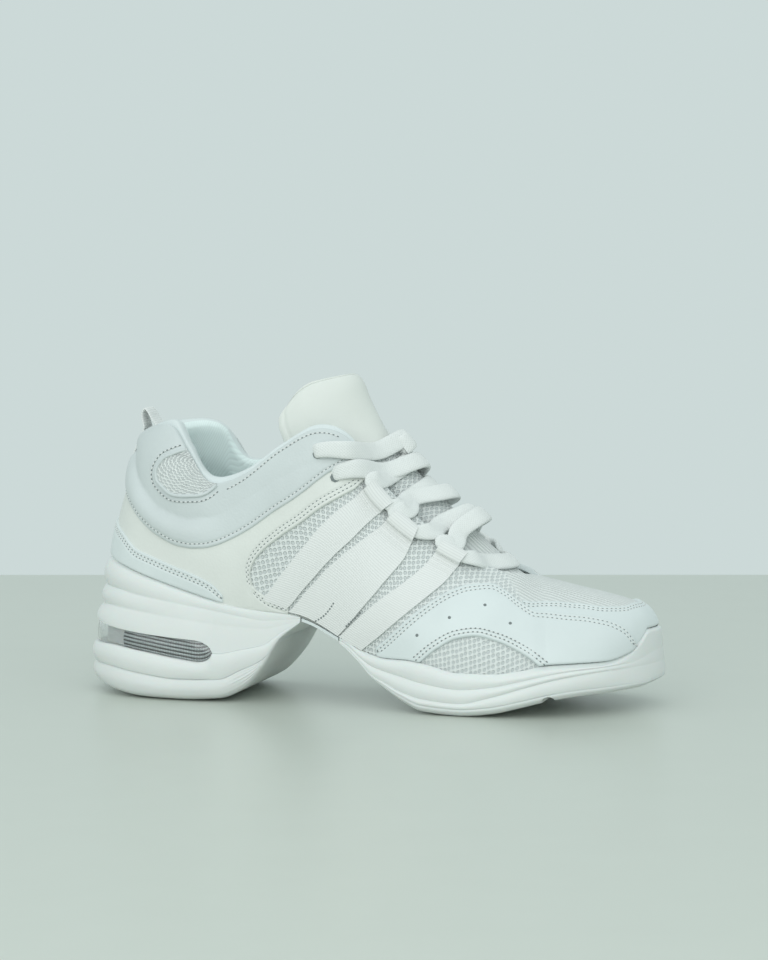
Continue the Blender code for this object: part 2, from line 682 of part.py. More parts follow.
def make_collar_panel():
    """Padded ankle panel with two rolls, from the lateral eyestay round the heel to the medial one."""
    front = COLLAR_LOW[-1][0]

    def place(t):
        return abs(2 * t - 1) * front

    def low(t):
        return np.array([place(t), edge_share(COLLAR_LOW, place(t))])

    def high(t):
        return np.array([place(t), COLLAR_EDGE])

    def rolls(row, share, s):
        groove = edge_share(ROLL_GROOVE, row)
        bottom = edge_share(COLLAR_LOW, row)
        puff = np.interp(row, [0, 0.8, 5, 7.5], [0.3, 1, 1, 0.25])
        if share < groove:
            part = (share - bottom) / max(groove - bottom, 0.01)
        else:
            part = (share - groove) / max(COLLAR_EDGE - groove, 0.01)
        return PANEL + ROLL_HEIGHT * puff * math.sin(math.pi * min(max(part, 0), 1)) ** 0.8

    return panel("collar_panel", (low, high), COOL_WHITE, lambda t: t > 0.5, rolls, rows=7, columns=37)


def make_quarter(name, medial):
    def low(t):
        return along_edge(QUARTER_LOW, t)

    def high(t):
        return along_edge(COLLAR_SEAM, t)

    return panel(name, (low, high), WARM_WHITE, medial, rows=4, columns=20)


def make_heel_counter():
    front = COUNTER_TOP[-1][0]

    def place(t):
        return abs(2 * t - 1) * front

    def low(t):
        row = place(t)
        share = height_share(row, along_table(HEEL, "lip", row) + 0.5)
        return np.array([row, share])

    def high(t):
        return np.array([place(t), max(edge_share(COUNTER_TOP, place(t)), low(t)[1] + 0.02)])

    return panel("heel_counter", (low, high), COOL_WHITE, lambda t: t > 0.5, rows=4, columns=27)


def guard_low(row):
    share = height_share(row, along_table(FOREFOOT, "lip", row) + 0.5)
    moon = edge_share(HALF_MOON, row) if HALF_MOON[0][0] < row < HALF_MOON[-1][0] else 0
    return max(share, moon)


def make_toe_guard():
    rear = GUARD_TOP[0][0]
    rows = [rear + 0.15, 9.9, 10.3, 10.9, 11.2, 11.6, 12, 12.4, 12.8, 13.2, 13.6, 14, 14.4, 14.7, 15, 15.6]
    rows += [16.2, 16.8, 17.3, 17.8, 18.3, 18.8, 19.4, 20]
    places = rows + rows[-2::-1]
    count = len(places)

    def place(t):
        return places[round(t * (count - 1))]

    def low(t):
        return np.array([place(t), guard_low(place(t))])

    def high(t):
        row = place(t)
        return np.array([row, max(edge_share(GUARD_TOP, row) - 0.01, guard_low(row) + 0.02)])

    def side(t):
        return round(t * (count - 1)) >= len(rows)

    return panel("toe_guard", (low, high), COOL_WHITE, side, rows=4, columns=count)


def make_toe_wing():
    rows = [14.25, 14.6, 15, 15.6, 16.2, 16.8, 17.3, 17.8, 18.3, 18.8, 19.4, 20]
    places = rows + rows[-2::-1]
    count = len(places)

    def place(t):
        return places[round(t * (count - 1))]

    def low(t):
        return np.array([place(t), edge_share(WING_LOW, place(t))])

    def high(t):
        return np.array([place(t), edge_share(WING_TOP, place(t))])

    def side(t):
        return round(t * (count - 1)) >= len(rows)

    return panel("toe_wing", (low, high), COOL_WHITE, side, rows=3, columns=count)


def strap_lines(edges, medial, s):
    """Inner and outer points of a strap at s of its width, from the feather to the throat."""
    line_in = []
    line_out = []
    for t in np.linspace(1, 0, 9):
        row, share = (1 - s) * along_edge(edges[0], t) + s * along_edge(edges[1], t)
        r = ring_place(row, medial)
        line_in.append(off_last(r, share, PANEL_GAP))
        line_out.append(off_last(r, share, PANEL_GAP + WEBBING))
    return line_in, line_out


def strap_loop(edges, medial, s):
    """Middle of the lace loop at s of a strap's width, with its directions onward and raised."""
    line_in, line_out = strap_lines(edges, medial, s)
    onward = line_in[-1] - line_in[-2]
    onward /= np.linalg.norm(onward)
    raised = line_out[-1] - line_in[-1]
    raised -= onward * np.dot(onward, raised)
    raised /= np.linalg.norm(raised)
    middle = 0.5 * (line_in[-1] + line_out[-1]) + onward * (LOOP_RADII[0] - 0.2) + raised * 2.0
    return middle, onward, raised


def make_strap(name, edges, medial):
    """Webbing strap from the feather to the throat, folded there to a loop for the lace."""
    outer = []
    inner = []
    for s in (0, 0.5, 1):
        line_in, line_out = strap_lines(edges, medial, s)
        middle, onward, raised = strap_loop(edges, medial, s)
        for angle in np.radians([165, 130, 90, 50, 15, -20, -60, -95]):
            spoke = LOOP_RADII[0] * math.cos(angle) * onward + LOOP_RADII[1] * math.sin(angle) * raised
            edge = 0.5 * WEBBING * spoke / np.linalg.norm(spoke)
            line_out.append(middle + spoke + edge)
            line_in.append(middle + spoke - edge)
        outer.append(line_out)
        inner.append(line_in)
    return sheet_solid(name, outer, inner, WARM_WHITE, 0.7)


def over_tongue(station, angle, lift):
    """A point above the tongue and the direction away from it there."""
    place = tongue_point(station, angle)
    away = place - tongue_point(station, angle, 1.0)
    away /= np.linalg.norm(away)
    return place + lift * away, away


def crossing(stations, angles, over):
    """Lace strand across the tongue from one station and angle to another, over or under the other."""
    strand = []
    for f in np.linspace(0, 1, 6):
        angle = (1 - f) * angles[0] + f * angles[1]
        station = (1 - f) * stations[0] + f * stations[1]
        hump = (LACE_THICKNESS + 2 * GAP) * over * math.exp(-((angle / 0.35) ** 2))
        strand.append(over_tongue(station, angle, 0.5 * LACE_THICKNESS + 1.6 * GAP + hump))
    return strand


def sweep(name, strand):
    """A flat lace along points that carry the direction of its flat side."""
    loops = []
    for k, (place, away) in enumerate(strand):
        ahead = strand[min(k + 1, len(strand) - 1)][0] - strand[max(k - 1, 0)][0]
        ahead /= np.linalg.norm(ahead)
        across = np.cross(away, ahead)
        across /= np.linalg.norm(across)
        flat = np.cross(ahead, across)
        ring = []
        for angle in np.radians([0, 50, 130, 180, 230, 310]):
            sideways = 0.5 * LACE_WIDTH * math.cos(angle) * across
            ring.append(place + sideways + 0.6 * LACE_THICKNESS * math.sin(angle) * flat)
        loops.append(ring)
    return loft(name, loops, WARM_WHITE, 0.75, (True, True))


def make_lace():
    """One lace, crossed over the tongue from the top eyelets to a bar at the last loops and back up."""
    down = list(zip(LACE_TURNS, LACE_TURNS[1:]))
    side = -LACE_SIDE
    strand = []
    for level, (high, low) in enumerate(down):
        strand += crossing((high - 0.1, low + 0.1), (side, -side), level % 2 == 0)
        side = -side
    strand += crossing((LACE_TURNS[-1] - 0.45, LACE_TURNS[-1] - 0.45), (side, -side), False)
    side = -side
    for level, (high, low) in reversed(list(enumerate(down))):
        strand += crossing((low + 0.1, high - 0.1), (side, -side), level % 2 == 1)
        side = -side
    return sweep("lace", strand)


def make_pull_loop():
    """Tape up the back of the heel that stands up over the collar as a finger loop."""
    half = np.array([0, 0.5 * TAPE_WIDTH, 0])
    lift = PANEL_GAP + PANEL + 1.6 + GAP
    path = [off_last(0, v, lift) for v in (0.5, 0.6, 0.7, 0.8, 0.9, 1)]
    turn = path[-1] + np.array([-0.6, 0, 6.0])
    for angle in np.radians([180, 140, 90, 40, 0]):
        path.append(turn + 1.9 * np.array([1 + math.cos(angle), 0, 1.2 * math.sin(angle)]))
    path.append(path[-1] + np.array([0.2, 0, -4.6]))
    outer = []
    inner = []
    for k, place in enumerate(path):
        ahead = path[min(k + 1, len(path) - 1)] - path[max(k - 1, 0)]
        side = np.array([-ahead[2], 0, ahead[0]]) / np.linalg.norm(ahead)
        outer.append([place + 0.5 * WEBBING * side + y * half for y in (-1, 0, 1)])
        inner.append([place - 0.5 * WEBBING * side + y * half for y in (-1, 0, 1)])
    return sheet_solid("pull_loop", outer, inner, WARM_WHITE, 0.7)


def main():
    for obj in list(bpy.data.objects):
        bpy.data.objects.remove(obj, do_unlink=True)
    make_heel_sole()
    make_heel_outsole()
    make_cushion_window()
    make_forefoot_sole()
    make_forefoot_outsole()
    make_arch_cover()
    make_upper()
    make_insole()
    make_tongue()
    make_collar_panel()
    make_quarter("quarter_lateral", False)
    make_quarter("quarter_medial", True)
    make_heel_counter()
    make_toe_guard()
    make_toe_wing()
    for number, edges in enumerate(STRAPS, 1):
        make_strap(f"strap_lateral_{number}", edges, False)
        make_strap(f"strap_medial_{number}", edges, True)
    make_lace()
    make_pull_loop()


main()
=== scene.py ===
"""Looks of a white split-sole dance sneaker, right shoe.

Every surface is laid on the same last as the solids: a ring of columns from the middle of
the heel (row 0) along the lateral side to the tip of the toe (row 20) and back along the
medial side. A place on it is a row and a share of the way from the feather line to the top
edge. Tables and sizes are in millimetres, and meshes are in metres.
"""

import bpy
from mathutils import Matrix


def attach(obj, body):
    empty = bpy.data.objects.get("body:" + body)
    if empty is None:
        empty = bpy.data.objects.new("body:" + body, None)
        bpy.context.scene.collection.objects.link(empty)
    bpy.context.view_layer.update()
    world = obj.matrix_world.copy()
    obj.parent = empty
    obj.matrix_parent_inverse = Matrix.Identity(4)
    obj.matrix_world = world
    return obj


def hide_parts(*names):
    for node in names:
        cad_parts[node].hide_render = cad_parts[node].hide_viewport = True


bl_info = {
    "name": "Dance Sneaker",
    "version": (1, 0, 0),
    "blender": (4, 5, 0),
    "location": "View3D > Sidebar > Sneaker",
    "description": "Dresses the solids of a split-sole dance sneaker with its finished pieces",
    "category": "Object",
}

import math
from collections import namedtuple

import bpy
import numpy as np

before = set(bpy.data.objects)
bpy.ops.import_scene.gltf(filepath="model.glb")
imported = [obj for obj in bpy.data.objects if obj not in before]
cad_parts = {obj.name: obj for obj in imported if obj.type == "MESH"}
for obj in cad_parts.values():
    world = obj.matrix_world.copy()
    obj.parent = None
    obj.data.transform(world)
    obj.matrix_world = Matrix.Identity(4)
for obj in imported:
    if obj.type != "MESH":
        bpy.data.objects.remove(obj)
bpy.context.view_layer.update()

MM = 0.001
ORIGIN = np.array([0.2, -1.5, 0.0])
UP = np.array([0.0, 0.0, 1.0])
WELD = 0.01 * MM
TINY = 1e-9
# How finely the last is probed: the step for its slopes and the halvings for a height.
PROBE = 0.02
HALVINGS = 26
# Rows that are about as far as the whole way up, for the lengths of edges.
ROWS_PER_SHARE = 6

Section = namedtuple(
    "Section",
    "foot_x lateral_y medial_y foot_z top_x top_lateral_y top_medial_y "
    "top_lateral_z top_medial_z rise flare fall lean",
)
# rise and fall are handle lengths, flare and lean their tilts outwards in degrees.
SECTIONS = [
    Section(-119, 0, 0, 42, -101.2, 0, 0, 115, 115, 25, 1, 22, 26),
    Section(-116.5, -13, 13, 42, -98.4, -9.5, 9.5, 116.5, 117, 25, 2, 22, 25),
    Section(-108.5, -23.5, 23.5, 41.5, -92, -18, 18, 119, 118, 24, 4, 24, 21),
    Section(-95, -30, 29.5, 41, -83, -23.5, 23.5, 119.3, 117.5, 24, 6, 26, 15),
    Section(-78, -32, 31, 40, -75, -27, 27, 108.5, 113, 22, 8, 24, 11),
    Section(-60, -32, 29, 40, -65, -28.7, 28.7, 96, 100, 18, 10, 20, 9),
    Section(-40, -31, 27, 39.4, -50, -28.8, 28.8, 99.5, 103.5, 18, 10, 22, 10),
    Section(-22, -31.3, 26.6, 37.2, -33.5, -27.6, 27.6, 111.5, 114, 22, 8, 26, 12),
    Section(-8, -32.5, 28, 31, -18, -25, 25.5, 120.2, 121.5, 28, 8, 30, 12),
    Section(4, -34.5, 30.3, 24.5, -4.5, -22.3, 23.3, 116, 118, 28, 8, 32, 15),
    Section(18, -38, 33.6, 17.3, 6, -20.6, 22, 100, 102, 26, 6, 30, 22),
    Section(34, -42, 37.3, 12.8, 24, -19.2, 21, 82, 83.5, 22, 6, 26, 32),
    Section(50, -43.5, 40.2, 11, 42, -17.8, 19.5, 68.5, 69.5, 20, 6, 22, 44),
    Section(64, -43.5, 40.6, 11.1, 57, -14.5, 17.5, 60, 60.5, 19, 6, 22, 58),
    Section(76, -42, 40, 12, 67.5, -9, 12.5, 57.5, 57.5, 18, 6, 22, 70),
    Section(86, -39, 38.4, 13, 74, 2, 2, 55.5, 55.5, 17, 6, 26, 82),
    Section(97, -34.2, 35, 14.4, 84, 3, 3, 52.9, 52.9, 17, 7, 24, 83),
    Section(108, -26.5, 29.2, 16.5, 94, 4, 4, 50.5, 50.5, 18, 8, 22, 83),
    Section(116.5, -16, 21, 18.5, 101, 5, 5, 48.7, 48.7, 19, 9, 21, 82),
    Section(121.5, -5, 14.5, 19.7, 101, 5, 5, 48.7, 48.7, 20, 10, 21, 81),
    Section(123.5, 6, 6, 20, 101, 5, 5, 48.7, 48.7, 20, 11, 21, 80),
]
TOE_ROW = len(SECTIONS) - 1
RING = 2 * TOE_ROW
THROAT_ROW = 15
POLE_ROW = 18
POLE_NORMAL = np.array([0.2, 0.0, 0.98])
# Where the two sides' directions blend on the ridge of the toe box.
POLE_REACH = 0.3
THROAT_REACH = 0.01
RIDGE_SHARE = 0.88

Heel = namedtuple("Heel", "row bottom split slot_low slot_high groove_2 groove_1 lip swell")
HEEL = [
    Heel(0, 3.8, 13.8, 21.5, 32.4, 39, 47.5, 61, 1.28),
    Heel(1, 3.3, 13.7, 22, 32, 39.2, 47.5, 60.5, 1.2),
    Heel(2, 1.5, 13.3, 22.5, 30.6, 39.5, 47, 58, 1.05),
    Heel(3, 0.15, 11.5, 21, 29, 38.3, 45, 54, 1.0),
    Heel(4, 0, 9.8, 18.4, 27.5, 36, 42.5, 49, 0.95),
    Heel(5, 1.2, 10.2, 16.4, 26.4, 34, 39.5, 43.8, 0.8),
    Heel(5.5, 5.5, 14.5, 19.5, 27, 33, 37.5, 41.6, 0.6),
    Heel(6, 16, 19.5, 23, 28, 32.5, 36, 40.2, 0.45),
    Heel(6.4, 28, 28.8, 30, 32, 34, 36.5, 39.6, 0.3),
    Heel(6.9, 35.4, 35.7, 36, 36.4, 36.8, 37.2, 38.2, 0.2),
]
SLOT_DEPTH = 5.0
SLOT_ROUND_ROW = 4.4
SLOT_END_ROW = 4.86

Forefoot = namedtuple("Forefoot", "row bottom groove_low groove_high lip swell")
FOREFOOT = [
    Forefoot(8.2, 27, 27.8, 28.7, 30.3, 0.25),
    Forefoot(8.6, 23.4, 24.9, 26.3, 28.6, 0.4),
    Forefoot(9, 19.5, 21, 22.6, 25.6, 0.55),
    Forefoot(9.5, 13.2, 15, 18.8, 23.4, 0.75),
    Forefoot(10, 8.4, 12, 16.9, 22.5, 0.9),
    Forefoot(10.5, 3.9, 8.8, 15.2, 22.5, 1),
    Forefoot(11, 0.9, 6.8, 13.4, 21.6, 1),
    Forefoot(12, 0, 5.6, 11.5, 18.3, 1),
    Forefoot(13, 1.4, 8.8, 13, 18.4, 1),
    Forefoot(14, 4.2, 12.6, 15.8, 20, 1),
    Forefoot(15, 6.7, 15.6, 18.2, 22, 1),
    Forefoot(16, 8.6, 18, 20.2, 22.6, 1),
    Forefoot(17, 9.6, 19.6, 21.3, 23.2, 1.05),
    Forefoot(18, 10.2, 20.2, 22.2, 26.8, 1.15),
    Forefoot(18.5, 10.4, 20.3, 23.6, 31, 1.23),
    Forefoot(19, 11, 20.4, 25, 34.8, 1.3),
    Forefoot(20, 11.6, 20.5, 26, 34.8, 1.35),
]
TREAD_LAYER = 3.3
FOREFOOT_TREAD_REAR_ROW = 9.0

Tongue = namedtuple("Tongue", "x z half_width drop thickness")
TONGUE = [
    Tongue(77, 51.2, 13, 4, 3),
    Tongue(67, 55.6, 18.5, 14, 3.5),
    Tongue(52, 68, 20, 26, 4),
    Tongue(37, 81.5, 20.5, 32, 4.5),
    Tongue(23, 95, 20.5, 36, 5),
    Tongue(13, 105.5, 20.5, 38, 5.5),
    Tongue(7, 113.5, 20, 38, 6),
    Tongue(2, 122, 20, 38, 6),
    Tongue(-2.5, 131, 20, 37, 6),
    Tongue(-5.5, 138, 19.5, 37, 5.5),
    Tongue(-9, 142.4, 18, 33, 4.5),
]
TONGUE_WRAP = math.radians(84)
TONGUE_SHIFT = 2.0
# Stations on the tongue: its top, the rounded end, the leather's lower edge and the knit's upper edge.
TONGUE_TOP = len(TONGUE) - 1
TONGUE_END = 9.4
TONGUE_LEATHER = 5.7
TONGUE_KNIT = 2.95
TONGUE_SPREAD = ([5.6, 7, 8.6, 10], [0, 1, 1, 0.2])
TONGUE_SEAM_SHARE = 0.94
TONGUE_SEAM_STATION = 9.82

# Panel edges on the last: row along the ring, share of the way from feather to top edge.
COUNTER_TOP = [
    (0, 0.45), (0.8, 0.43), (1.9, 0.38), (2.7, 0.305), (3.5, 0.28), (4.2, 0.26),
    (4.6, 0.24), (4.9, 0.2), (5.1, 0.13),
]
COLLAR_LOW = [
    (0, 0.76), (0.7, 0.7), (1.3, 0.6), (2.1, 0.515), (2.7, 0.447), (3.2, 0.41), (3.7, 0.398), (4.15, 0.412),
    (4.6, 0.456), (5.1, 0.52), (5.6, 0.58), (6.3, 0.64), (7.6, 0.7), (8.5, 0.8), (9.3, 0.93),
]
ROLL_GROOVE = [(0, 0.87), (1, 0.82), (2, 0.68), (2.5, 0.61), (3.2, 0.55), (4, 0.58), (4.8, 0.7), (6, 0.82)]
QUARTER_LOW = [
    (0, 0.44), (1.9, 0.36), (2.7, 0.285), (3.5, 0.26), (4.2, 0.24), (4.8, 0.16), (5.15, 0.03), (5.78, 0.03),
    (5.8, 0.12), (5.79, 0.19), (5.79, 0.29), (5.95, 0.393), (6.3, 0.47), (6.88, 0.523), (7.53, 0.567),
    (8.28, 0.64), (9.33, 0.8), (9.8, 0.93),
]
QUARTER_TAIL = [(5.45, 0.26), (5.75, 0.235), (5.86, 0.185), (6.0, 0.145), (6.2, 0.11), (6.58, 0.07)]
GUARD_TOP = [
    (9.5, 0.06), (10.3, 0.24), (11.2, 0.48), (12, 0.68), (12.5, 0.78), (13.1, 0.84), (13.5, 0.79),
    (14, 0.68), (14.6, 0.58), (15.55, 0.56), (16.2, 0.55), (16.88, 0.51), (17.55, 0.417), (18.07, 0.253),
    (18.5, 0.12), (20, 0.1),
]
HALF_MOON = [
    (10.9, 0.12), (11.5, 0.26), (12.1, 0.36), (12.7, 0.4), (13.2, 0.375), (13.95, 0.29), (14.95, 0.14),
]
WING_TOP = [
    (14.1, 0.69), (14.5, 0.668), (15, 0.662), (15.6, 0.672), (16.25, 0.672), (17, 0.65), (17.45, 0.655),
    (18.5, 0.685), (20, 0.69),
]
WING_UNDER = 0.04
INSERT_EDGES = {
    "lateral": [
        (3.85, 0.975), (3.3, 0.86), (2.95, 0.79), (2.82, 0.73), (2.92, 0.685), (3.38, 0.66),
        (3.9, 0.705), (4.4, 0.785), (4.8, 0.87), (5.25, 0.97),
    ],
    "medial": [
        (3.6, 0.975), (3.05, 0.86), (2.8, 0.79), (2.73, 0.735), (2.86, 0.685), (3.35, 0.65),
        (3.9, 0.665), (4.4, 0.745), (4.8, 0.85), (5.25, 0.97),
    ],
}
EYELETS = [(8.06, 0.862), (8.6, 0.776)]
PERFORATIONS = [(12.9, 0.64), (11.9, 0.48), (11.0, 0.3), (13.7, 0.5)]
STRAP_SLITS = [[(8.15, 0.18), (7.75, 0.09), (7.33, 0.015)], [(9.25, 0.225), (8.9, 0.157), (8.5, 0.083)]]
SEAM_STEP = 0.02
COLLAR_EDGE = 0.985
# Each strap: its upper edge and its lower edge, from the throat down to the feather.
STRAPS = [
    ([(9.7, 0.86), (9.3, 0.753), (8.38, 0.59), (7.65, 0.48),
      (7.05, 0.387), (6.48, 0.267), (5.98, 0.107)],
     [(10.3, 0.86), (9.98, 0.757), (9.18, 0.56), (8.38, 0.417),
      (7.68, 0.303), (7.08, 0.193), (6.55, 0.05)]),
    ([(10.43, 0.84), (10.25, 0.77), (9.47, 0.577), (8.55, 0.413),
      (7.78, 0.293), (7.14, 0.178), (6.6, 0.03)],
     [(11.02, 0.84), (10.87, 0.727), (10.53, 0.583), (10.03, 0.43),
      (9.4, 0.277), (8.78, 0.137), (8.15, 0.01)]),
    ([(11.55, 0.87), (11.38, 0.773), (10.97, 0.623), (10.45, 0.473),
      (9.72, 0.31), (8.95, 0.153), (8.2, 0.01)],
     [(12.12, 0.87), (11.83, 0.72), (11.38, 0.57), (10.93, 0.443),
      (10.4, 0.303), (9.78, 0.163), (9.1, 0.02)]),
]
SIDES = (("lateral", False), ("medial", True))


def smooth(x, xs, ys):
    """A curve through the points (xs, ys) that doesn't overshoot, level at the heel and toe middles."""
    xs = np.asarray(xs, float)
    ys = np.asarray(ys, float)
    gap = np.diff(xs)
    slope = np.diff(ys) / gap
    ahead, behind = slope[1:], slope[:-1]
    same = ahead * behind > 0
    weight = (2 * gap[1:] + gap[:-1], gap[1:] + 2 * gap[:-1])
    mean = weight[0] / np.where(same, behind, 1) + weight[1] / np.where(same, ahead, 1)
    tilt = np.zeros_like(ys)
    tilt[1:-1] = np.where(same, (weight[0] + weight[1]) / np.where(same, mean, 1), 0)
    tilt[0] = 0 if xs[0] == 0 else slope[0]
    tilt[-1] = 0 if xs[-1] == TOE_ROW else slope[-1]
    x = np.clip(x, xs[0], xs[-1])
    k = np.clip(np.searchsorted(xs, x, side="right") - 1, 0, len(gap) - 1)
    t = (x - xs[k]) / gap[k]
    ends = (1 + 2 * t) * (1 - t) ** 2 * ys[k] + t * t * (3 - 2 * t) * ys[k + 1]
    return ends + gap[k] * t * (1 - t) * ((1 - t) * tilt[k] - t * tilt[k + 1])


def along_table(table, column, row):
    return smooth(row, [entry.row for entry in table], [getattr(entry, column) for entry in table])


def edge_share(edge, row):
    return smooth(row, [e[0] for e in edge], [e[1] for e in edge])


def edge_place(edge, k):
    """Share of an edge's length up to its point k, or to each of its points."""
    points = np.array(edge, float)
    steps = np.hypot(np.diff(points[:, 0]), ROWS_PER_SHARE * np.diff(points[:, 1]))
    places = np.concatenate([[0], np.cumsum(steps)]) / steps.sum()
    return places[k]


def along_edge(edge, t):
    """Rows and shares on a curve through (row, share) pairs at t of its length."""
    points = np.array(edge, float)
    places = edge_place(edge, slice(None))
    places[0] = TINY
    return smooth(t, places, points[:, 0]), smooth(t, places, points[:, 1])


def ring_rows():
    rows = []
    for k in range(RING):
        section = SECTIONS[min(k, RING - k)]
        if k <= TOE_ROW:
            side = (section.lateral_y, section.top_lateral_y, section.top_lateral_z)
        else:
            side = (section.medial_y, section.top_medial_y, section.top_medial_z)
        foot_place = (section.foot_x, side[0], section.foot_z)
        top_place = (section.top_x, side[1], side[2])
        rows.append(foot_place + top_place + (section.rise, section.flare, section.fall, section.lean))
    return np.array(rows, float)


ROWS = ring_rows()


def unit(vectors):
    return vectors / np.maximum(np.linalg.norm(vectors, axis=-1, keepdims=True), TINY)


def catmull_rom(a, b, c, d, f):
    """Points at shares f of the way from b to c."""
    return 0.5 * (2 * b + (c - a) * f + (2 * a - 5 * b + 4 * c - d) * f**2 + (3 * b - a - 3 * c + d) * f**3)


def on_ring(r):
    """The table's values at ring places r, on a closed Catmull-Rom curve."""
    r = np.asarray(r, float)
    k = np.floor(r).astype(int)
    return catmull_rom(*(ROWS[(k + i) % RING] for i in (-1, 0, 1, 2)), (r - k)[..., None])


def row_of(r):
    r = np.mod(r, RING)
    return np.minimum(r, RING - r)


def ring_place(row, medial):
    return np.where(medial, RING - row, row)


def outward(r):
    along = on_ring(r + PROBE) - on_ring(r - PROBE)
    return unit(np.stack([along[..., 1], -along[..., 0], 0 * along[..., 0]], -1))


def foot(r):
    return on_ring(r)[..., :3]


def last_point(r, v):
    """The outside of the upper at ring places r and shares v of the way up."""
    r, v = np.broadcast_arrays(np.asarray(r, float), np.asarray(v, float))
    value = on_ring(r)
    row = row_of(r)[..., None]
    top = value[..., 3:6]
    ridge = 0.5 * (top + on_ring(RING - r)[..., 3:6])
    end = np.where(row >= POLE_ROW, ROWS[POLE_ROW][3:6], np.where(row >= THROAT_ROW, ridge, top))
    out = outward(r)
    rise, fall = value[..., 6:7], value[..., 8:9]
    flare, lean = np.radians(value[..., 7:8]), np.radians(value[..., 9:10])
    start = value[..., :3]
    low = start + rise * (np.sin(flare) * out + np.cos(flare) * UP)
    high = end + fall * (np.sin(lean) * out - np.cos(lean) * UP)
    v = v[..., None]
    w = 1 - v
    return w**3 * start + 3 * w * w * v * low + 3 * w * v * v * high + v**3 * end


def side_normal(r, v):
    v = np.clip(v, PROBE, 1 - PROBE)
    along = last_point(r + PROBE, v) - last_point(r - PROBE, v)
    rising = last_point(r, v + PROBE) - last_point(r, v - PROBE)
    return unit(np.cross(along, rising))


def last_normal(r, v):
    r, v = np.broadcast_arrays(np.asarray(r, float), np.asarray(v, float))
    normal = side_normal(r, v)
    row = row_of(r)[..., None]
    near_top = np.clip((v[..., None] - RIDGE_SHARE) / (1 - RIDGE_SHARE), 0, 1) ** 2
    shared = unit(normal + side_normal(RING - r, v))
    ridge = np.where(row >= POLE_ROW - POLE_REACH, unit(POLE_NORMAL), shared)
    weight = np.where(row >= THROAT_ROW - THROAT_REACH, near_top, 0)
    return unit((1 - weight) * normal + weight * ridge)


def off_last(r, v, offset):
    return last_point(r, v) + np.asarray(offset)[..., None] * last_normal(r, v)


def height_share(r, z):
    """The shares at which the columns at r reach the heights z."""
    low = np.zeros_like(r)
    high = np.ones_like(r)
    for _ in range(HALVINGS):
        mid = 0.5 * (low + high)
        under = last_point(r, mid)[..., 2] < z
        low = np.where(under, mid, low)
        high = np.where(under, high, mid)
    return low


def side_point(r, offset, z):
    place = foot(r) + outward(r) * np.asarray(offset)[..., None]
    place[..., 2] = z
    return place


def runs(*stretches):
    """Even steps over one stretch after another, each from a start to an end in a number of steps."""
    return np.concatenate([np.linspace(*stretch) for stretch in stretches])


def run_lengths(points, axis):
    """Length covered so far along one axis of a grid of points."""
    steps = np.linalg.norm(np.diff(points, axis=axis), axis=-1)
    start = np.zeros_like(np.take(steps, [0], axis=axis))
    return np.concatenate([start, np.cumsum(steps, axis=axis)], axis=axis)


def laid_grid(name, points, lengths=None):
    """A grid primitive whose vertices are laid on a grid of points, with a UV map in millimetres."""
    columns, rows = (n - 1 for n in points.shape[:2])
    bpy.ops.object.select_all(action="DESELECT")
    bpy.ops.mesh.primitive_grid_add(x_subdivisions=columns, y_subdivisions=rows, size=1.0)
    piece = bpy.context.object
    piece.name = piece.data.name = name + "_visual"
    mesh = piece.data
    flat = np.empty(3 * len(mesh.vertices))
    mesh.vertices.foreach_get("co", flat)
    flat = flat.reshape(-1, 3)
    i = np.rint((flat[:, 0] + 0.5) * columns).astype(int)
    j = np.rint((flat[:, 1] + 0.5) * rows).astype(int)
    mesh.vertices.foreach_set("co", (MM * (points[i, j] - ORIGIN)).ravel())
    if lengths is None:
        lengths = (run_lengths(points, 0).mean(axis=1, keepdims=True) + 0 * points[..., 0],
                   run_lengths(points, 1))
    corner = np.empty(len(mesh.loops), np.int32)
    mesh.loops.foreach_get("vertex_index", corner)
    uv = np.stack([lengths[0][i, j][corner], lengths[1][i, j][corner]], -1)
    mesh.uv_layers.active.data.foreach_set("uv", uv.ravel())
    mesh.update()
    return piece, i, j


def close_mesh(piece, fill=True):
    """Merges what meets, closes open ends and turns the faces outwards."""
    bpy.ops.object.mode_set(mode="EDIT")
    bpy.ops.mesh.select_all(action="SELECT")
    bpy.ops.mesh.remove_doubles(threshold=WELD)
    bpy.ops.mesh.dissolve_degenerate(threshold=0.1 * WELD)
    if fill:
        bpy.ops.mesh.select_all(action="SELECT")
        bpy.ops.mesh.fill_holes(sides=0)
    bpy.ops.mesh.select_all(action="SELECT")
    bpy.ops.mesh.normals_make_consistent(inside=False)
    bpy.ops.object.mode_set(mode="OBJECT")


SOFT_ANGLE = 50
ROUND_ANGLE = 60
BEAD_ANGLE = 80


def finish(piece, finishes, nodes=(), angle=SOFT_ANGLE):
    """Smooth shading, materials, and the piece's place on the shoe."""
    bpy.ops.object.select_all(action="DESELECT")
    piece.select_set(True)
    bpy.context.view_layer.objects.active = piece
    bpy.ops.object.shade_smooth_by_angle(angle=math.radians(angle))
    for material in finishes:
        piece.data.materials.append(material)
    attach(piece, "root")
    if nodes:
        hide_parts(*nodes)
    return piece


def mould(name, loops, finishes, nodes=(), angle=SOFT_ANGLE):
    """A closed piece through closed loops of points."""
    loops = np.concatenate([loops, loops[:, :1]], axis=1)
    piece, _, _ = laid_grid(name, loops)
    close_mesh(piece)
    return finish(piece, finishes, nodes, angle)


def piping(name, path, away, radii, finish_name):
    """A cord of an oval section along a path. radii are across and through."""
    ahead = unit(np.gradient(path, axis=0))
    across = unit(np.cross(away, ahead))
    flat = np.cross(ahead, across)
    angle = np.linspace(0, 2 * math.pi, 12, endpoint=False)[None, :, None]
    wide = radii[0] * np.cos(angle) * across[:, None]
    loops = path[:, None] + wide + radii[1] * np.sin(angle) * flat[:, None]
    return mould(name, loops, [finish_named(finish_name)])


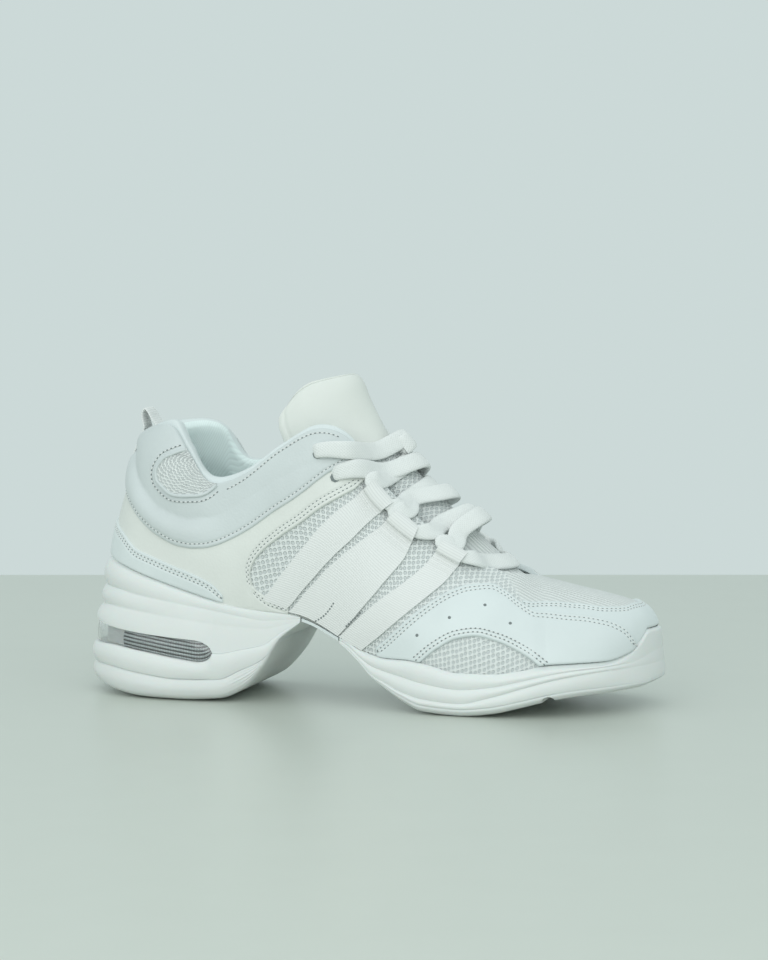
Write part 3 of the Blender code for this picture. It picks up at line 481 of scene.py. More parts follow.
def curve_through(points, count):
    """Points along a Catmull-Rom curve through the given ones, evenly spaced."""
    points = np.asarray(points, float)
    padded = np.concatenate([2 * points[:1] - points[1:2], points, 2 * points[-1:] - points[-2:-1]])
    f = np.linspace(0, 1, 24, endpoint=False)[:, None]
    dense = [catmull_rom(*four, f) for four in zip(padded, padded[1:], padded[2:], padded[3:])]
    dense = np.concatenate(dense + [points[-1:]])
    length = run_lengths(dense, 0)
    at = np.linspace(0, length[-1], count)
    return np.stack([np.interp(at, length, dense[:, k]) for k in range(points.shape[1])], -1)


def add(tree, kind, inputs=None, **settings):
    """A node with its settings, and its inputs as values or as sockets to link."""
    node = tree.nodes.new(kind)
    for key, value in settings.items():
        setattr(node, key, value)
    for key, value in (inputs or {}).items():
        if isinstance(value, bpy.types.NodeSocket):
            tree.links.new(value, node.inputs[key])
        else:
            node.inputs[key].default_value = value
    return node


def math_node(tree, operation, *values):
    return add(tree, "ShaderNodeMath", dict(enumerate(values)), operation=operation).outputs[0]


def coordinates(tree, kind):
    return add(tree, "ShaderNodeTexCoord").outputs[kind]


def axis_of(tree, vector, axis):
    return add(tree, "ShaderNodeSeparateXYZ", {0: vector}).outputs[axis]


def mapped(tree, vector, scale=(1, 1, 1), turn=0.0):
    return add(tree, "ShaderNodeMapping",
               {"Vector": vector, "Scale": scale, "Rotation": (0, 0, math.radians(turn))}).outputs[0]


def stretch(tree, value, source, target=(0.0, 1.0)):
    """A value taken smoothly from one range to another."""
    ranges = dict(enumerate((value, *source, *target)))
    return add(tree, "ShaderNodeMapRange", ranges, interpolation_type="SMOOTHSTEP").outputs[0]


def blend_colors(tree, share, first, second):
    node = add(tree, "ShaderNodeMix", data_type="RGBA")
    tree.links.new(share, node.inputs[0])
    for socket, color in ((node.inputs[6], first), (node.inputs[7], second)):
        if isinstance(color, bpy.types.NodeSocket):
            tree.links.new(color, socket)
        else:
            socket.default_value = (*color, 1)
    return node.outputs[2]


def noise(tree, vector, scale, detail=3.0):
    settings = {"Vector": vector, "Scale": scale, "Detail": detail}
    return add(tree, "ShaderNodeTexNoise", settings).outputs["Fac"]


def wave(tree, value, pitch):
    """Ribs of the given pitch, from 0 in the grooves to 1 on the crests."""
    turns = math_node(tree, "MULTIPLY", value, 2 * math.pi / pitch)
    return math_node(tree, "MULTIPLY_ADD", math_node(tree, "SINE", turns), 0.5, 0.5)


def new_finish(name, color, roughness, **sockets):
    """A material whose constant values are set on the shader's own sockets."""
    material = bpy.data.materials.new(name)
    material.use_nodes = True
    tree = material.node_tree
    shader = tree.nodes["Principled BSDF"]
    shader.inputs["Base Color"].default_value = (*color, 1)
    shader.inputs["Roughness"].default_value = roughness
    for key, value in sockets.items():
        shader.inputs[key.replace("_", " ").title()].default_value = value
    return material, tree, shader


def raise_surface(tree, shader, height, distance, strength=1.0):
    bump = add(tree, "ShaderNodeBump", {"Height": height, "Distance": distance, "Strength": strength})
    tree.links.new(bump.outputs[0], shader.inputs["Normal"])


def darker(color, share):
    return tuple(share * c for c in color)


def tone_surface(tree, shader, share, color, dark):
    """A base colour that runs from a darker tone at 0 to the full colour at 1."""
    tree.links.new(blend_colors(tree, share, darker(color, dark), color), shader.inputs["Base Color"])


def leatherette(name, color):
    """Smooth coated leatherette: fine pebble grain, a soft sheen and slightly uneven tone."""
    material, tree, shader = new_finish(name, color, 0.42, coat_weight=0.08, coat_roughness=0.3)
    place = coordinates(tree, "Object")
    pebble = add(tree, "ShaderNodeTexVoronoi", {"Vector": place, "Scale": 1050.0},
                 feature="SMOOTH_F1").outputs["Distance"]
    mottle = noise(tree, place, 190.0, 4.0)
    height = math_node(tree, "MULTIPLY_ADD", mottle, 0.8, pebble)
    raise_surface(tree, shader, height, 0.00012, 0.45)
    cloud = noise(tree, place, 34.0, 2.0)
    tone = stretch(tree, cloud, (0.35, 0.65))
    tone_surface(tree, shader, tone, color, 0.955)
    tree.links.new(stretch(tree, mottle, (0.3, 0.7), (0.36, 0.5)), shader.inputs["Roughness"])
    return material


def hole_lattice(tree, vector, pitch, turn):
    """Distance from the nearest of staggered holes, in shares of a cell."""
    turned = mapped(tree, vector, turn=turn)
    root = math.sqrt(2)
    cells = mapped(tree, turned, (root / pitch[0], root / (2 * pitch[1]), 1), 45)
    return add(tree, "ShaderNodeTexVoronoi", {"Vector": cells, "Scale": 1.0, "Randomness": 0.16},
               voronoi_dimensions="2D").outputs["Distance"]


def air_mesh(name, color, shade, pitch, turn, ribs=None):
    """Spacer mesh with staggered open cells, and ribbed knit where the knit attribute is 1; painted shade
    darkens the cells and the grooves between the ribs.
    """
    material, tree, shader = new_finish(name, color, 0.8, sheen_weight=0.25, sheen_roughness=0.5)
    distance = hole_lattice(tree, coordinates(tree, "UV"), pitch, turn)
    rim = stretch(tree, distance, (0.27, 0.42))
    place = coordinates(tree, "Object")
    fuzz = noise(tree, place, 1500.0, 2.0)
    surface = math_node(tree, "MULTIPLY_ADD", fuzz, 0.25, rim)
    # Painted shade: the open cells take the darker shade colour.
    shaded_tint = blend_colors(tree, rim, shade, color)
    if ribs:
        drift = noise(tree, place, 60.0, 1.0)
        wobble = math_node(tree, "MULTIPLY_ADD", drift, 0.0012, axis_of(tree, place, "Y"))
        rib = wave(tree, wobble, ribs)
        knit = add(tree, "ShaderNodeAttribute", attribute_name="knit").outputs["Fac"]
        ribbed = math_node(tree, "MULTIPLY_ADD", fuzz, 0.3, rib)
        surface = add(tree, "ShaderNodeMix", {0: knit, 2: surface, 3: ribbed}).outputs[0]
        # Painted shade: the knit's base colour is darker in the grooves between the ribs.
        crest = stretch(tree, rib, (0.0, 0.45))
        rib_groove_shade = blend_colors(tree, crest, darker(color, 0.8), color)
        shaded_tint = blend_colors(tree, knit, shaded_tint, rib_groove_shade)
    tree.links.new(shaded_tint, shader.inputs["Base Color"])
    raise_surface(tree, shader, surface, 0.0005, 0.9)
    return material


def webbing(name, color, pitch):
    """Woven tape with fine cross ribs, its base colour darker in the grooves between them: painted shade.
    """
    material, tree, shader = new_finish(name, color, 0.72, sheen_weight=0.3, sheen_roughness=0.4)
    weave = coordinates(tree, "UV")
    rib = wave(tree, axis_of(tree, weave, "X"), pitch)
    yarn = wave(tree, axis_of(tree, weave, "Y"), 0.8)
    height = math_node(tree, "MULTIPLY_ADD", yarn, 0.25, rib)
    raise_surface(tree, shader, height, 0.0001, 0.6)
    # Painted shade: darker base colour in the rib grooves.
    tone = stretch(tree, rib, (0.0, 0.6))
    tone_surface(tree, shader, tone, color, 0.9)
    return material


def braid(name, color):
    """Flat braided lace: two sets of slanted yarns, its base colour darker where both are low: painted
    shade between the yarns.
    """
    material, tree, shader = new_finish(name, color, 0.75, sheen_weight=0.35, sheen_roughness=0.4)
    weave = coordinates(tree, "UV")
    along = axis_of(tree, weave, "X")
    around = axis_of(tree, weave, "Y")
    left = wave(tree, math_node(tree, "ADD", along, around), 1.3)
    right = wave(tree, math_node(tree, "SUBTRACT", along, around), 1.3)
    height = math_node(tree, "MAXIMUM", left, right)
    raise_surface(tree, shader, height, 0.0002, 0.6)
    # Painted shade: darker base colour between the yarns.
    tone = stretch(tree, height, (0.2, 0.8))
    tone_surface(tree, shader, tone, color, 0.93)
    return material


def moulded(name, color, roughness):
    """Moulded foam rubber: satin, with a faint skin texture and handling marks."""
    material, tree, shader = new_finish(name, color, roughness, coat_weight=0.06, coat_roughness=0.35,
                                        subsurface_weight=0.06, subsurface_scale=0.004)
    place = coordinates(tree, "Object")
    skin = noise(tree, place, 420.0, 3.0)
    raise_surface(tree, shader, skin, 0.0001, 0.35)
    cloud = stretch(tree, noise(tree, place, 22.0, 3.0), (0.35, 0.7))
    tone_surface(tree, shader, cloud, color, 0.965)
    marks = stretch(tree, noise(tree, place, 70.0), (0.3, 0.7), (roughness - 0.06, roughness + 0.1))
    tree.links.new(marks, shader.inputs["Roughness"])
    return material


def lining_cloth(name, color):
    """Brushed lining textile with fine slanted lines, its base colour darker in their troughs: painted
    shade.
    """
    material, tree, shader = new_finish(name, color, 0.9, sheen_weight=0.4, sheen_roughness=0.6)
    weave = mapped(tree, coordinates(tree, "UV"), turn=28)
    line = wave(tree, axis_of(tree, weave, "X"), 1.3)
    fuzz = noise(tree, coordinates(tree, "Object"), 900.0, 2.0)
    raise_surface(tree, shader, math_node(tree, "MULTIPLY_ADD", fuzz, 0.6, line), 0.00015, 0.5)
    # Painted shade: darker base colour in the troughs of the lines.
    tone = stretch(tree, line, (0.0, 0.5))
    tone_surface(tree, shader, tone, color, 0.92)
    return material


def lined_core(name, color, shade):
    """The ribbed grey body behind the clear window: lengthwise lines broken by fine dots."""
    material, tree, shader = new_finish(name, color, 0.35, metallic=0.25)
    weave = coordinates(tree, "UV")
    line = wave(tree, axis_of(tree, weave, "Y"), 1.6)
    dot = wave(tree, axis_of(tree, weave, "X"), 1.2)
    height = math_node(tree, "MULTIPLY", line, math_node(tree, "MULTIPLY_ADD", dot, 0.45, 0.55))
    tone = stretch(tree, height, (0.12, 0.5))
    tree.links.new(blend_colors(tree, tone, shade, color), shader.inputs["Base Color"])
    raise_surface(tree, shader, height, 0.0004, 0.8)
    return material


def clear_plastic(name, color):
    """Clear moulded plastic with faint flow marks."""
    material, tree, shader = new_finish(name, color, 0.06, transmission_weight=1.0, coat_weight=0.3)
    shader.inputs["IOR"].default_value = 1.4
    flow = noise(tree, coordinates(tree, "Object"), 120.0, 1.0)
    raise_surface(tree, shader, flow, 0.0003, 0.3)
    return material


def plain_finish(name, color, roughness, grain):
    """A plain finish with a fine grain, for thread, the painted shade in holes, and the stage."""
    material, tree, shader = new_finish(name, color, roughness)
    grains = noise(tree, coordinates(tree, "Object"), grain, 2.0)
    raise_surface(tree, shader, grains, 0.0001, 0.2)
    tone_surface(tree, shader, grains, color, 0.97)
    return material


def finish_named(name):
    """One of the shoe's finishes, made the first time that it is asked for."""
    name_shown = "sneaker " + name
    if name_shown in bpy.data.materials:
        return bpy.data.materials[name_shown]
    colors = bpy.context.scene.sneaker_colors
    sizes = bpy.context.scene.sneaker_sizes
    cool = tuple(colors.cool_leather)
    cream = tuple(colors.cream_leather)
    cloth = tuple(colors.mesh)
    shade = tuple(colors.mesh_shade)
    pitch = (sizes.mesh_pitch / MM, 0.7 * sizes.mesh_pitch / MM)
    tape = tuple(colors.webbing)
    rubber = tuple(colors.sole)
    makers = {
        "cool leatherette": lambda: leatherette(name, cool),
        # Painted shade: the collar and its piping take the cool leather darkened, for the collar standing
        # darker under the light.
        "collar shaded leatherette": lambda: leatherette(name, darker(cool, 0.88)),
        "cream leatherette": lambda: leatherette(name, cream),
        "side mesh": lambda: air_mesh(name, cloth, shade, pitch, 38, sizes.rib_pitch),
        "ankle mesh": lambda: air_mesh(name, cloth, shade, (0.62 * pitch[0], 0.7 * pitch[1]), 80),
        "tongue mesh": lambda: air_mesh(name, cloth, shade, pitch, 0, sizes.rib_pitch),
        "webbing": lambda: webbing(name, tape, 1.05),
        "lace braid": lambda: braid(name, tuple(colors.lace)),
        "moulded sole": lambda: moulded(name, rubber, 0.4),
        "tread rubber": lambda: moulded(name, darker(rubber, 0.97), 0.52),
        # Painted light: the lining's colour is set brighter than the cloth, standing in for light coming
        # into the shoe through its walls.
        "lining": lambda: lining_cloth(name, tuple(colors.lining)),
        "window core": lambda: lined_core(name, tuple(colors.window), darker(colors.window, 0.12)),
        "clear plastic": lambda: clear_plastic(name, (0.97, 0.98, 0.98)),
        "thread": lambda: plain_finish(name, darker(tape, 0.98), 0.6, 2500.0),
        # Dark grey discs for the holes: painted shade, standing in for the shade down inside stitch holes,
        # slits, perforations and eyelets.
        "needle hole shade": lambda: plain_finish(name, tuple(colors.needle_hole_shade), 0.9, 2500.0),
        "floor": lambda: plain_finish(name, tuple(colors.floor), 0.3, 40.0),
    }
    material = makers[name]()
    material.name = name_shown
    return material


# Sole sides are offsets from the feather line, for a swell of 1. The lip overlaps the upper.
LIP_WIDTH = 2.2
LIP_GAP = 0.3
LIP_TURNS = np.radians([90, 60, 30])
RIB_STEPS = 14
RIB_ROUNDNESS = 0.75


def rib_profile(levels, offsets, swells):
    """Offsets and heights down a side whose ribs swell between grooves at the given levels."""
    f = np.linspace(0, 1, RIB_STEPS, endpoint=False)
    crest = np.sin(math.pi * f) ** RIB_ROUNDNESS
    out = []
    down = []
    for k, swell in enumerate(swells):
        out.append((1 - f) * offsets[k][:, None] + f * offsets[k + 1][:, None] + swell[:, None] * crest)
        down.append((1 - f) * levels[k][:, None] + f * levels[k + 1][:, None])
    out.append(offsets[-1][:, None])
    down.append(levels[-1][:, None])
    return np.concatenate(out, 1), np.concatenate(down, 1)


def lip_offset(r, lip):
    return ((last_point(r, height_share(r, lip)) - foot(r)) * outward(r)).sum(-1)


def lip_points(r, lip, width, top):
    """The rounded lip of a sole unit, from the upper out to its side."""
    rise = np.sin(LIP_TURNS)
    offset = lip_offset(r, lip)[:, None] + LIP_GAP + (width[:, None] - LIP_GAP) * (1 - rise * 0.75)
    height = lip[:, None] - top[:, None] * (1 - rise)
    return side_point(r[:, None], offset, height)


def inner_wall(r, lip):
    """Down the inside of a sole's rim, against the upper, to its floor."""
    share = height_share(r, lip)[:, None] * np.array([0.9, 0.45, 0.0])
    walls = off_last(np.broadcast_to(r[:, None], share.shape), share, LIP_GAP + 0 * share)
    floor = foot(r) + outward(r) * LIP_GAP - LIP_GAP * UP
    return np.concatenate([walls, floor[:, None]], 1)


# Heel unit: how its ribs fade from the back to the front, and each rib's height ribbed and plain.
HEEL_FADE = ([0.8, 2.2, 3.8], [1.0, 0.6, 0.05])
HEEL_GROOVES = (2.1, 3.0)
HEEL_RIBS = ((1.4, 0.3), (1.4, 0.1), (0.9, 0.1))
SLOT_TOP_OFFSET = 5.9
SLOT_BASE_OFFSET = 6.4
HEEL_LOW_OFFSET = 6.5
HEEL_LOW_RIB = 1.3
SLOT_LIP = 0.7
SLOT_LIP_DROP = (0.15, 0.2)


def slot_opening(row):
    """Share of the slot's full height that is open at a row: its front end is round."""
    into = np.clip((row - SLOT_ROUND_ROW) / (SLOT_END_ROW - SLOT_ROUND_ROW), 0, 1)
    return np.sqrt(1 - into**2)


def heel_levels(r):
    row = row_of(r)
    line = {name: along_table(HEEL, name, row) for name in Heel._fields[1:]}
    middle = 0.5 * (line["slot_high"] + line["slot_low"])
    half = 0.5 * (line["slot_high"] - line["slot_low"]) * slot_opening(row)
    line["slot_top"] = middle + half
    line["slot_base"] = middle - half
    return line


def heel_side(r):
    """The heel unit's side at ring places r, from its lip to the tread, with the slot cut in."""
    row = row_of(r)
    line = heel_levels(r)
    swell = line["swell"]
    top, base = line["slot_top"], line["slot_base"]
    fade = np.interp(row, *HEEL_FADE)
    inner = lip_offset(r, line["lip"])
    edge = inner + LIP_WIDTH * np.minimum(1, swell + 0.2)
    lip = lip_points(r, line["lip"], edge - inner, 0.9 * swell + 0.3)
    levels = [line["lip"] - 1.2 * swell, line["groove_1"], line["groove_2"], top]
    full = SLOT_TOP_OFFSET * swell
    plain = [edge + (full - edge) * (levels[0] - z) / (levels[0] - top + 1e-6) for z in levels]
    ribbed = [edge, *(depth * swell for depth in HEEL_GROOVES), full]
    offsets = [fade * a + (1 - fade) * b for a, b in zip(ribbed, plain)]
    offsets[0] = edge
    swells = [(rib * fade + flat) * swell for rib, flat in HEEL_RIBS]
    upper_out, upper_z = rib_profile(levels, offsets, swells)
    depth = SLOT_DEPTH * np.minimum(1, 3 * slot_opening(row))
    low = HEEL_LOW_OFFSET * swell
    near, far = SLOT_LIP_DROP
    inside = np.stack([full - SLOT_LIP, full - depth, low - depth, low - SLOT_LIP], 1)
    inside_z = np.stack([top - near, top - far, base + far, base + near], 1)
    low_offsets = [SLOT_BASE_OFFSET * swell, low]
    low_out, low_z = rib_profile([base, line["split"]], low_offsets, [HEEL_LOW_RIB * swell])
    offset = np.concatenate([upper_out, inside, low_out], 1)
    height = np.concatenate([upper_z, inside_z, low_z], 1)
    return np.concatenate([lip, side_point(r[:, None], offset, height)], 1)


def both_sides(rows, side):
    """A side profile on the lateral and the medial columns of the same rows."""
    return side(rows), side(RING - rows)


def unit_loops(rows, side, table):
    """Closed loops of a sole unit: lateral side, underside, medial side, and the cup inside."""
    lateral, medial = both_sides(rows, side)
    wall_a, wall_b = both_sides(rows, lambda r: inner_wall(r, along_table(table, "lip", row_of(r))))
    across = np.linspace(0, 1, 10)[1:-1, None]
    under = (1 - across) * lateral[:, -1:] + across * medial[:, -1:]
    return np.concatenate([lateral, under, medial[:, ::-1], wall_b, wall_a[:, ::-1]], 1)


def tread_loops(rows, side, depth):
    """Closed loops of a tread: lateral side, grooved underside, medial side, and a flat top."""
    lateral, medial = both_sides(rows, side)
    across = np.linspace(0, 1, 62)[1:-1, None]
    under = (1 - across) * lateral[:, -1:] + across * medial[:, -1:]
    under[..., 2] += depth(under[..., 0], under[..., 1])
    return np.concatenate([lateral, under, medial[:, ::-1]], 1)


def groove(position, middle, width):
    """Share of a groove's depth at a position, with sloping walls."""
    return np.clip((width - np.abs(position - middle)) / (0.5 * width), 0, 1)


# Side profiles of the treads: shares of the way down, and offsets there.
TREAD_GAP = 0.05
HEEL_TREAD = ([0, 0.08, 0.4, 0.7, 0.9, 1], [6.1, 6.8, 7.5, 6.5, 4.0, -0.5])
FOREFOOT_TREAD = ([0, 0.2, 0.65, 0.9, 1], [3.4, 3.5, 2.4, 1.0, -0.5])
BREAST_ROW = 5.1
BREAST_LINES = 6
BREAST_LINE_HEIGHT = 0.35


def heel_tread_side(r):
    """The heel tread's side, with fine lines where it turns up at the breast."""
    row = row_of(r)
    swell = along_table(HEEL, "swell", row)
    bottom = along_table(HEEL, "bottom", row)
    top = along_table(HEEL, "split", row) - TREAD_GAP
    s = np.concatenate([np.linspace(0, 0.9, 16), [0.95, 1.0]])
    lined = BREAST_LINE_HEIGHT * np.clip((row - BREAST_ROW) / 0.3, 0, 1)[:, None]
    lines = lined * np.sin(math.pi * s * BREAST_LINES) ** 2
    height = top[:, None] - s * (top - bottom)[:, None]
    return side_point(r[:, None], smooth(s, *HEEL_TREAD) * swell[:, None] + lines, height)


LUG_GROOVE = 1.5


def lug_depth(middles, half_width, depth):
    """Depth of straight cross grooves, fading out towards the edges of the sole."""
    def at(x, y):
        cut = sum(groove(x, m, LUG_GROOVE) for m in middles)
        return depth * np.clip(cut, 0, 1) * np.clip((half_width - np.abs(y)) / LUG_GROOVE, 0, 1)
    return at


def forefoot_split(row):
    bottom = along_table(FOREFOOT, "bottom", row)
    low = along_table(FOREFOOT, "groove_low", row)
    layer = np.interp(row, [FOREFOOT_TREAD_REAR_ROW, 10.5], [0.8, TREAD_LAYER])
    return np.minimum(bottom + layer, low - 0.4)


# Forefoot unit: where its waves fade in and out, and where its side turns plain for the toe bumper.
WAVE_FADE = ([9, 10.5, 15.5, 17.6], [0.3, 1, 1, 0.0])
BUMPER_FADE = ([16.5, 18], [0, 1])
FOREFOOT_LOW_OFFSET = 3.5


def forefoot_side(r):
    """The forefoot unit's side, from its lip to the tread, with two waved grooves."""
    row = row_of(r)
    line = {name: along_table(FOREFOOT, name, row) for name in Forefoot._fields[1:]}
    swell = line["swell"]
    within = np.minimum(1, swell)
    wide = LIP_WIDTH * np.minimum(1, swell + 0.1)
    edge = lip_offset(r, line["lip"]) + wide
    lip = lip_points(r, line["lip"], wide, 0.8 * within + 0.2)
    fade = np.interp(row, *WAVE_FADE)
    toe = np.interp(row, *BUMPER_FADE)
    low = FOREFOOT_LOW_OFFSET * swell
    levels = [line["lip"] - within, line["groove_high"], line["groove_low"], forefoot_split(row)]
    waved = [edge, (3.6 - fade) * swell, (3.9 - 0.8 * fade) * swell, low]
    fall = [(levels[0] - z) / (levels[0] - levels[3]) for z in levels]
    offsets = [(1 - toe) * a + toe * (edge + (low - edge) * f) for a, f in zip(waved, fall)]
    swells = [(0.8 - 0.7 * toe) * swell, (0.4 + 0.6 * fade - 0.3 * toe) * swell, (0.7 - 0.6 * toe) * swell]
    offset, height = rib_profile(levels, offsets, swells)
    return np.concatenate([lip, side_point(r[:, None], offset, height)], 1)


NOTCH_X = 87.5
NOTCH_RADIUS = 2.7


def notch_rise(x):
    """Rise of the tread over the half-round flex notch across the forefoot."""
    return np.sqrt(np.clip(NOTCH_RADIUS**2 - (x - NOTCH_X) ** 2, 0, None))


def forefoot_tread_side(r):
    """The forefoot tread's side, raised where the notch crosses it."""
    row = row_of(r)
    bottom = along_table(FOREFOOT, "bottom", row)
    top = forefoot_split(row) - TREAD_GAP
    swell = along_table(FOREFOOT, "swell", row)
    s = np.linspace(0, 1, 10)
    height = top[:, None] - s * (top - bottom)[:, None]
    place = side_point(r[:, None], smooth(s, *FOREFOOT_TREAD) * swell[:, None], height)
    rise = notch_rise(place[..., 0])
    raised = np.minimum(bottom[:, None] + rise, top[:, None] - 0.2)
    place[..., 2] = np.maximum(place[..., 2], np.where(rise > 0, raised, -1))
    return place


# A panel: its edges and its side of the shoe along it, its face and edge heights, and its seams.
Panel = namedtuple("Panel", "low high medial lift rest seams")
# A seam: the edge that it follows, its distance from it, and where along the panel it starts.
Seam = namedtuple("Seam", "edge distance start", defaults=(0,))
PANEL_BASE = 0.05
EDGE_ROUND = 0.8
EDGE_HEIGHT = 0.35
SEAM_DIP = 0.3
SEAM_DIP_WIDTH = 0.6
SEAM_GAPS = (1.7, 3.3)
LIP_CLEAR = 0.2
# Heights of the panels' faces, and of edges that rest on a panel below.
COLLAR_REST = 1.35
QUARTER_HEIGHT = 1.4
TAIL_HEIGHT = 1.3
COUNTER_HEIGHT = 2.4
COUNTER_REST = 1.3
GUARD_HEIGHT = 1.5
GUARD_OVER_WING = 0.9
GUARD_REST = 1.3
WING_HEIGHT = 1.4
# Rows where the guard lies over the wing, and where the toe bumper covers it.
OVER_WING = ([13.9, 14.5, 18.0, 18.3], [0, 1, 1, 0])
UNDER_BUMPER = ([18.3, 18.57], [1, 0.1])


def panel_place(panel, t, s):
    """Rows, shares, ring places and the height in millimetres of a panel at t along it and s up it."""
    low, high = panel.low(t), panel.high(t)
    medial = (panel.medial(t) if callable(panel.medial) else np.full(len(t), panel.medial))[:, None]

    def between(share):
        return tuple((1 - share) * a[:, None] + share * b[:, None] for a, b in zip(low, high))

    row, share = between(np.broadcast_to(np.linspace(0, 1, 9), (len(t), 9)))
    height = run_lengths(last_point(ring_place(row, medial), share), 1)[:, -1:]
    row, share = between(s(height) if callable(s) else s)
    return row, share, ring_place(row, medial), height


EDGE_STEPS = np.array([0, 0.12, 0.35, 0.8, 1.25, 1.65, 2.05, 2.5, 2.9, 3.3, 3.8])


def graded(count):
    """Steps up a panel, close together at its two edges and seams."""
    def steps(height):
        near = EDGE_STEPS * np.minimum(1, 0.45 * height / EDGE_STEPS[-1])
        middle = near[:, -1:] + (height - 2 * near[:, -1:]) * np.linspace(0, 1, count)[None, 1:-1]
        return np.concatenate([near, middle, height - near[:, ::-1]], 1) / height
    return steps


def panel_surface(panel, t, s):
    row, share, r, height = panel_place(panel, t, s)
    s = s(height) if callable(s) else s
    bend = np.sqrt(1 - (1 - np.clip(np.minimum(s, 1 - s) * height / EDGE_ROUND, 0, 1)) ** 2)
    rest = panel.rest(row, share)
    lift = rest + (panel.lift(row, share) - rest) * (EDGE_HEIGHT + (1 - EDGE_HEIGHT) * bend)
    for seam in panel.seams:
        away = (s if seam.edge == "low" else 1 - s) * height
        dip = SEAM_DIP * np.exp(-(((away - seam.distance) / SEAM_DIP_WIDTH) ** 2))
        lift = lift - dip * (t >= seam.start)[:, None]
    return off_last(r, share, PANEL_BASE + lift), last_normal(r, share)


def make_panel(name, panel, columns, rows, slot, finish_name, nodes=None):
    """A sewn panel on the upper with rounded edges and dipped seams."""
    t = np.linspace(0, 1, columns)
    outer, _ = panel_surface(panel, t, graded(rows))
    back = np.broadcast_to(np.linspace(1, 0, 8), (columns, 8))
    _, share, r, _ = panel_place(panel, t, back)
    inner = off_last(r, share, PANEL_BASE + 0 * share)
    return mould(name, np.concatenate([outer, inner], 1), [finish_named(finish_name)],
                 [name] if nodes is None else nodes)


def even(thickness):
    return lambda row, share: thickness + 0 * share


def round_heel(front):
    """A run from the lateral front of a row round the heel to the medial front."""
    return lambda t: np.abs(2 * t - 1) * front


def round_toe(rear):
    return lambda t: TOE_ROW - np.abs(2 * t - 1) * (TOE_ROW - rear)


def past_middle(t):
    return t > 0.5


# Collar padding: its height at the edges, and that of its rolls along the rows.
COLLAR_HEIGHT = 2.3
ROLL_HEIGHT = 2.2
ROLL_PUFF = ([0, 0.8, 3.4, 5.4], [0.3, 1, 1, 0.06])


def collar_rolls(row, share):
    """Lift of the padded collar: two rolls with a groove between."""
    valley = edge_share(ROLL_GROOVE, row)
    bottom = edge_share(COLLAR_LOW, row)
    puff = np.interp(row, *ROLL_PUFF)
    under = (share - bottom) / np.maximum(valley - bottom, 0.01)
    over = (share - valley) / np.maximum(COLLAR_EDGE - valley, 0.01)
    part = np.clip(np.where(share < valley, under, over), 0, 1)
    return COLLAR_HEIGHT + ROLL_HEIGHT * puff * np.sin(math.pi * part) ** 0.8


def collar_panel():
    row = round_heel(COLLAR_LOW[-1][0])

    def low(t):
        return row(t), edge_share(COLLAR_LOW, row(t))

    def high(t):
        return row(t), COLLAR_EDGE + 0 * t

    return Panel(low, high, past_middle, collar_rolls, even(COLLAR_REST), [Seam("low", 2.0)])


def quarter_panel(medial):
    collar_seam = [(row, share + SEAM_STEP) for row, share in COLLAR_LOW]
    opening = edge_place(QUARTER_LOW, 8)

    def low(t):
        return along_edge(QUARTER_LOW, t)

    def high(t):
        return along_edge(collar_seam, t)

    seams = [Seam("low", gap, opening) for gap in SEAM_GAPS]
    return Panel(low, high, medial, even(QUARTER_HEIGHT), even(0.0), seams)


def quarter_tail(medial):
    rear, front = QUARTER_TAIL[0][0], QUARTER_TAIL[-1][0]

    def row(t):
        return rear + (front - rear) * t

    def low(t):
        return row(t), 0.01 + 0 * t

    def high(t):
        return row(t), edge_share(QUARTER_TAIL, row(t))

    seams = [Seam("high", 1.6, 0.33), Seam("high", 3.2, 0.3)]
    return Panel(low, high, medial, even(TAIL_HEIGHT), even(0.0), seams)


def counter_panel():
    row = round_heel(COUNTER_TOP[-1][0])

    def low(t):
        r = ring_place(row(t), past_middle(t))
        return row(t), height_share(r, along_table(HEEL, "lip", row(t)) + LIP_CLEAR)

    def high(t):
        return row(t), np.maximum(edge_share(COUNTER_TOP, row(t)), low(t)[1] + 0.02)

    seams = [Seam("high", 1.6), Seam("high", 3.0)]
    return Panel(low, high, past_middle, even(COUNTER_HEIGHT), even(COUNTER_REST), seams)


def over_forefoot(row, medial):
    """Shares just over the forefoot unit's lip."""
    return height_share(ring_place(row, medial), along_table(FOREFOOT, "lip", row) + LIP_CLEAR)


def guard_low(row, medial):
    inside = (row > HALF_MOON[0][0]) & (row < HALF_MOON[-1][0])
    return np.maximum(over_forefoot(row, medial), np.where(inside, edge_share(HALF_MOON, row), 0))


def over_wing(row):
    """Share of the guard's lift over the wing under its edge."""
    return np.interp(row, *OVER_WING)


def guard_lift(row, share):
    """The guard's height: thicker over the wing, and thinned out where the toe bumper covers it."""
    return (GUARD_HEIGHT + GUARD_OVER_WING * over_wing(row)) * np.interp(row, *UNDER_BUMPER) + 0 * share


def guard_panel():
    row = round_toe(GUARD_TOP[0][0] + 0.15)

    def low(t):
        return row(t), guard_low(row(t), past_middle(t))

    def high(t):
        return row(t), np.maximum(edge_share(GUARD_TOP, row(t)), low(t)[1] + 0.01)

    def rest(row, share):
        return GUARD_REST * over_wing(row) + 0 * share

    return Panel(low, high, past_middle, guard_lift, rest, [Seam("high", gap) for gap in SEAM_GAPS])


def wing_panel():
    row = round_toe(WING_TOP[0][0] + 0.02)

    def low(t):
        under = edge_share(GUARD_TOP, row(t)) - WING_UNDER
        return row(t), np.maximum(over_forefoot(row(t), past_middle(t)), under)

    def high(t):
        return row(t), edge_share(WING_TOP, row(t))

    seams = [Seam("high", 1.6), Seam("high", 3.0)]
    return Panel(low, high, past_middle, even(WING_HEIGHT), even(0.0), seams)


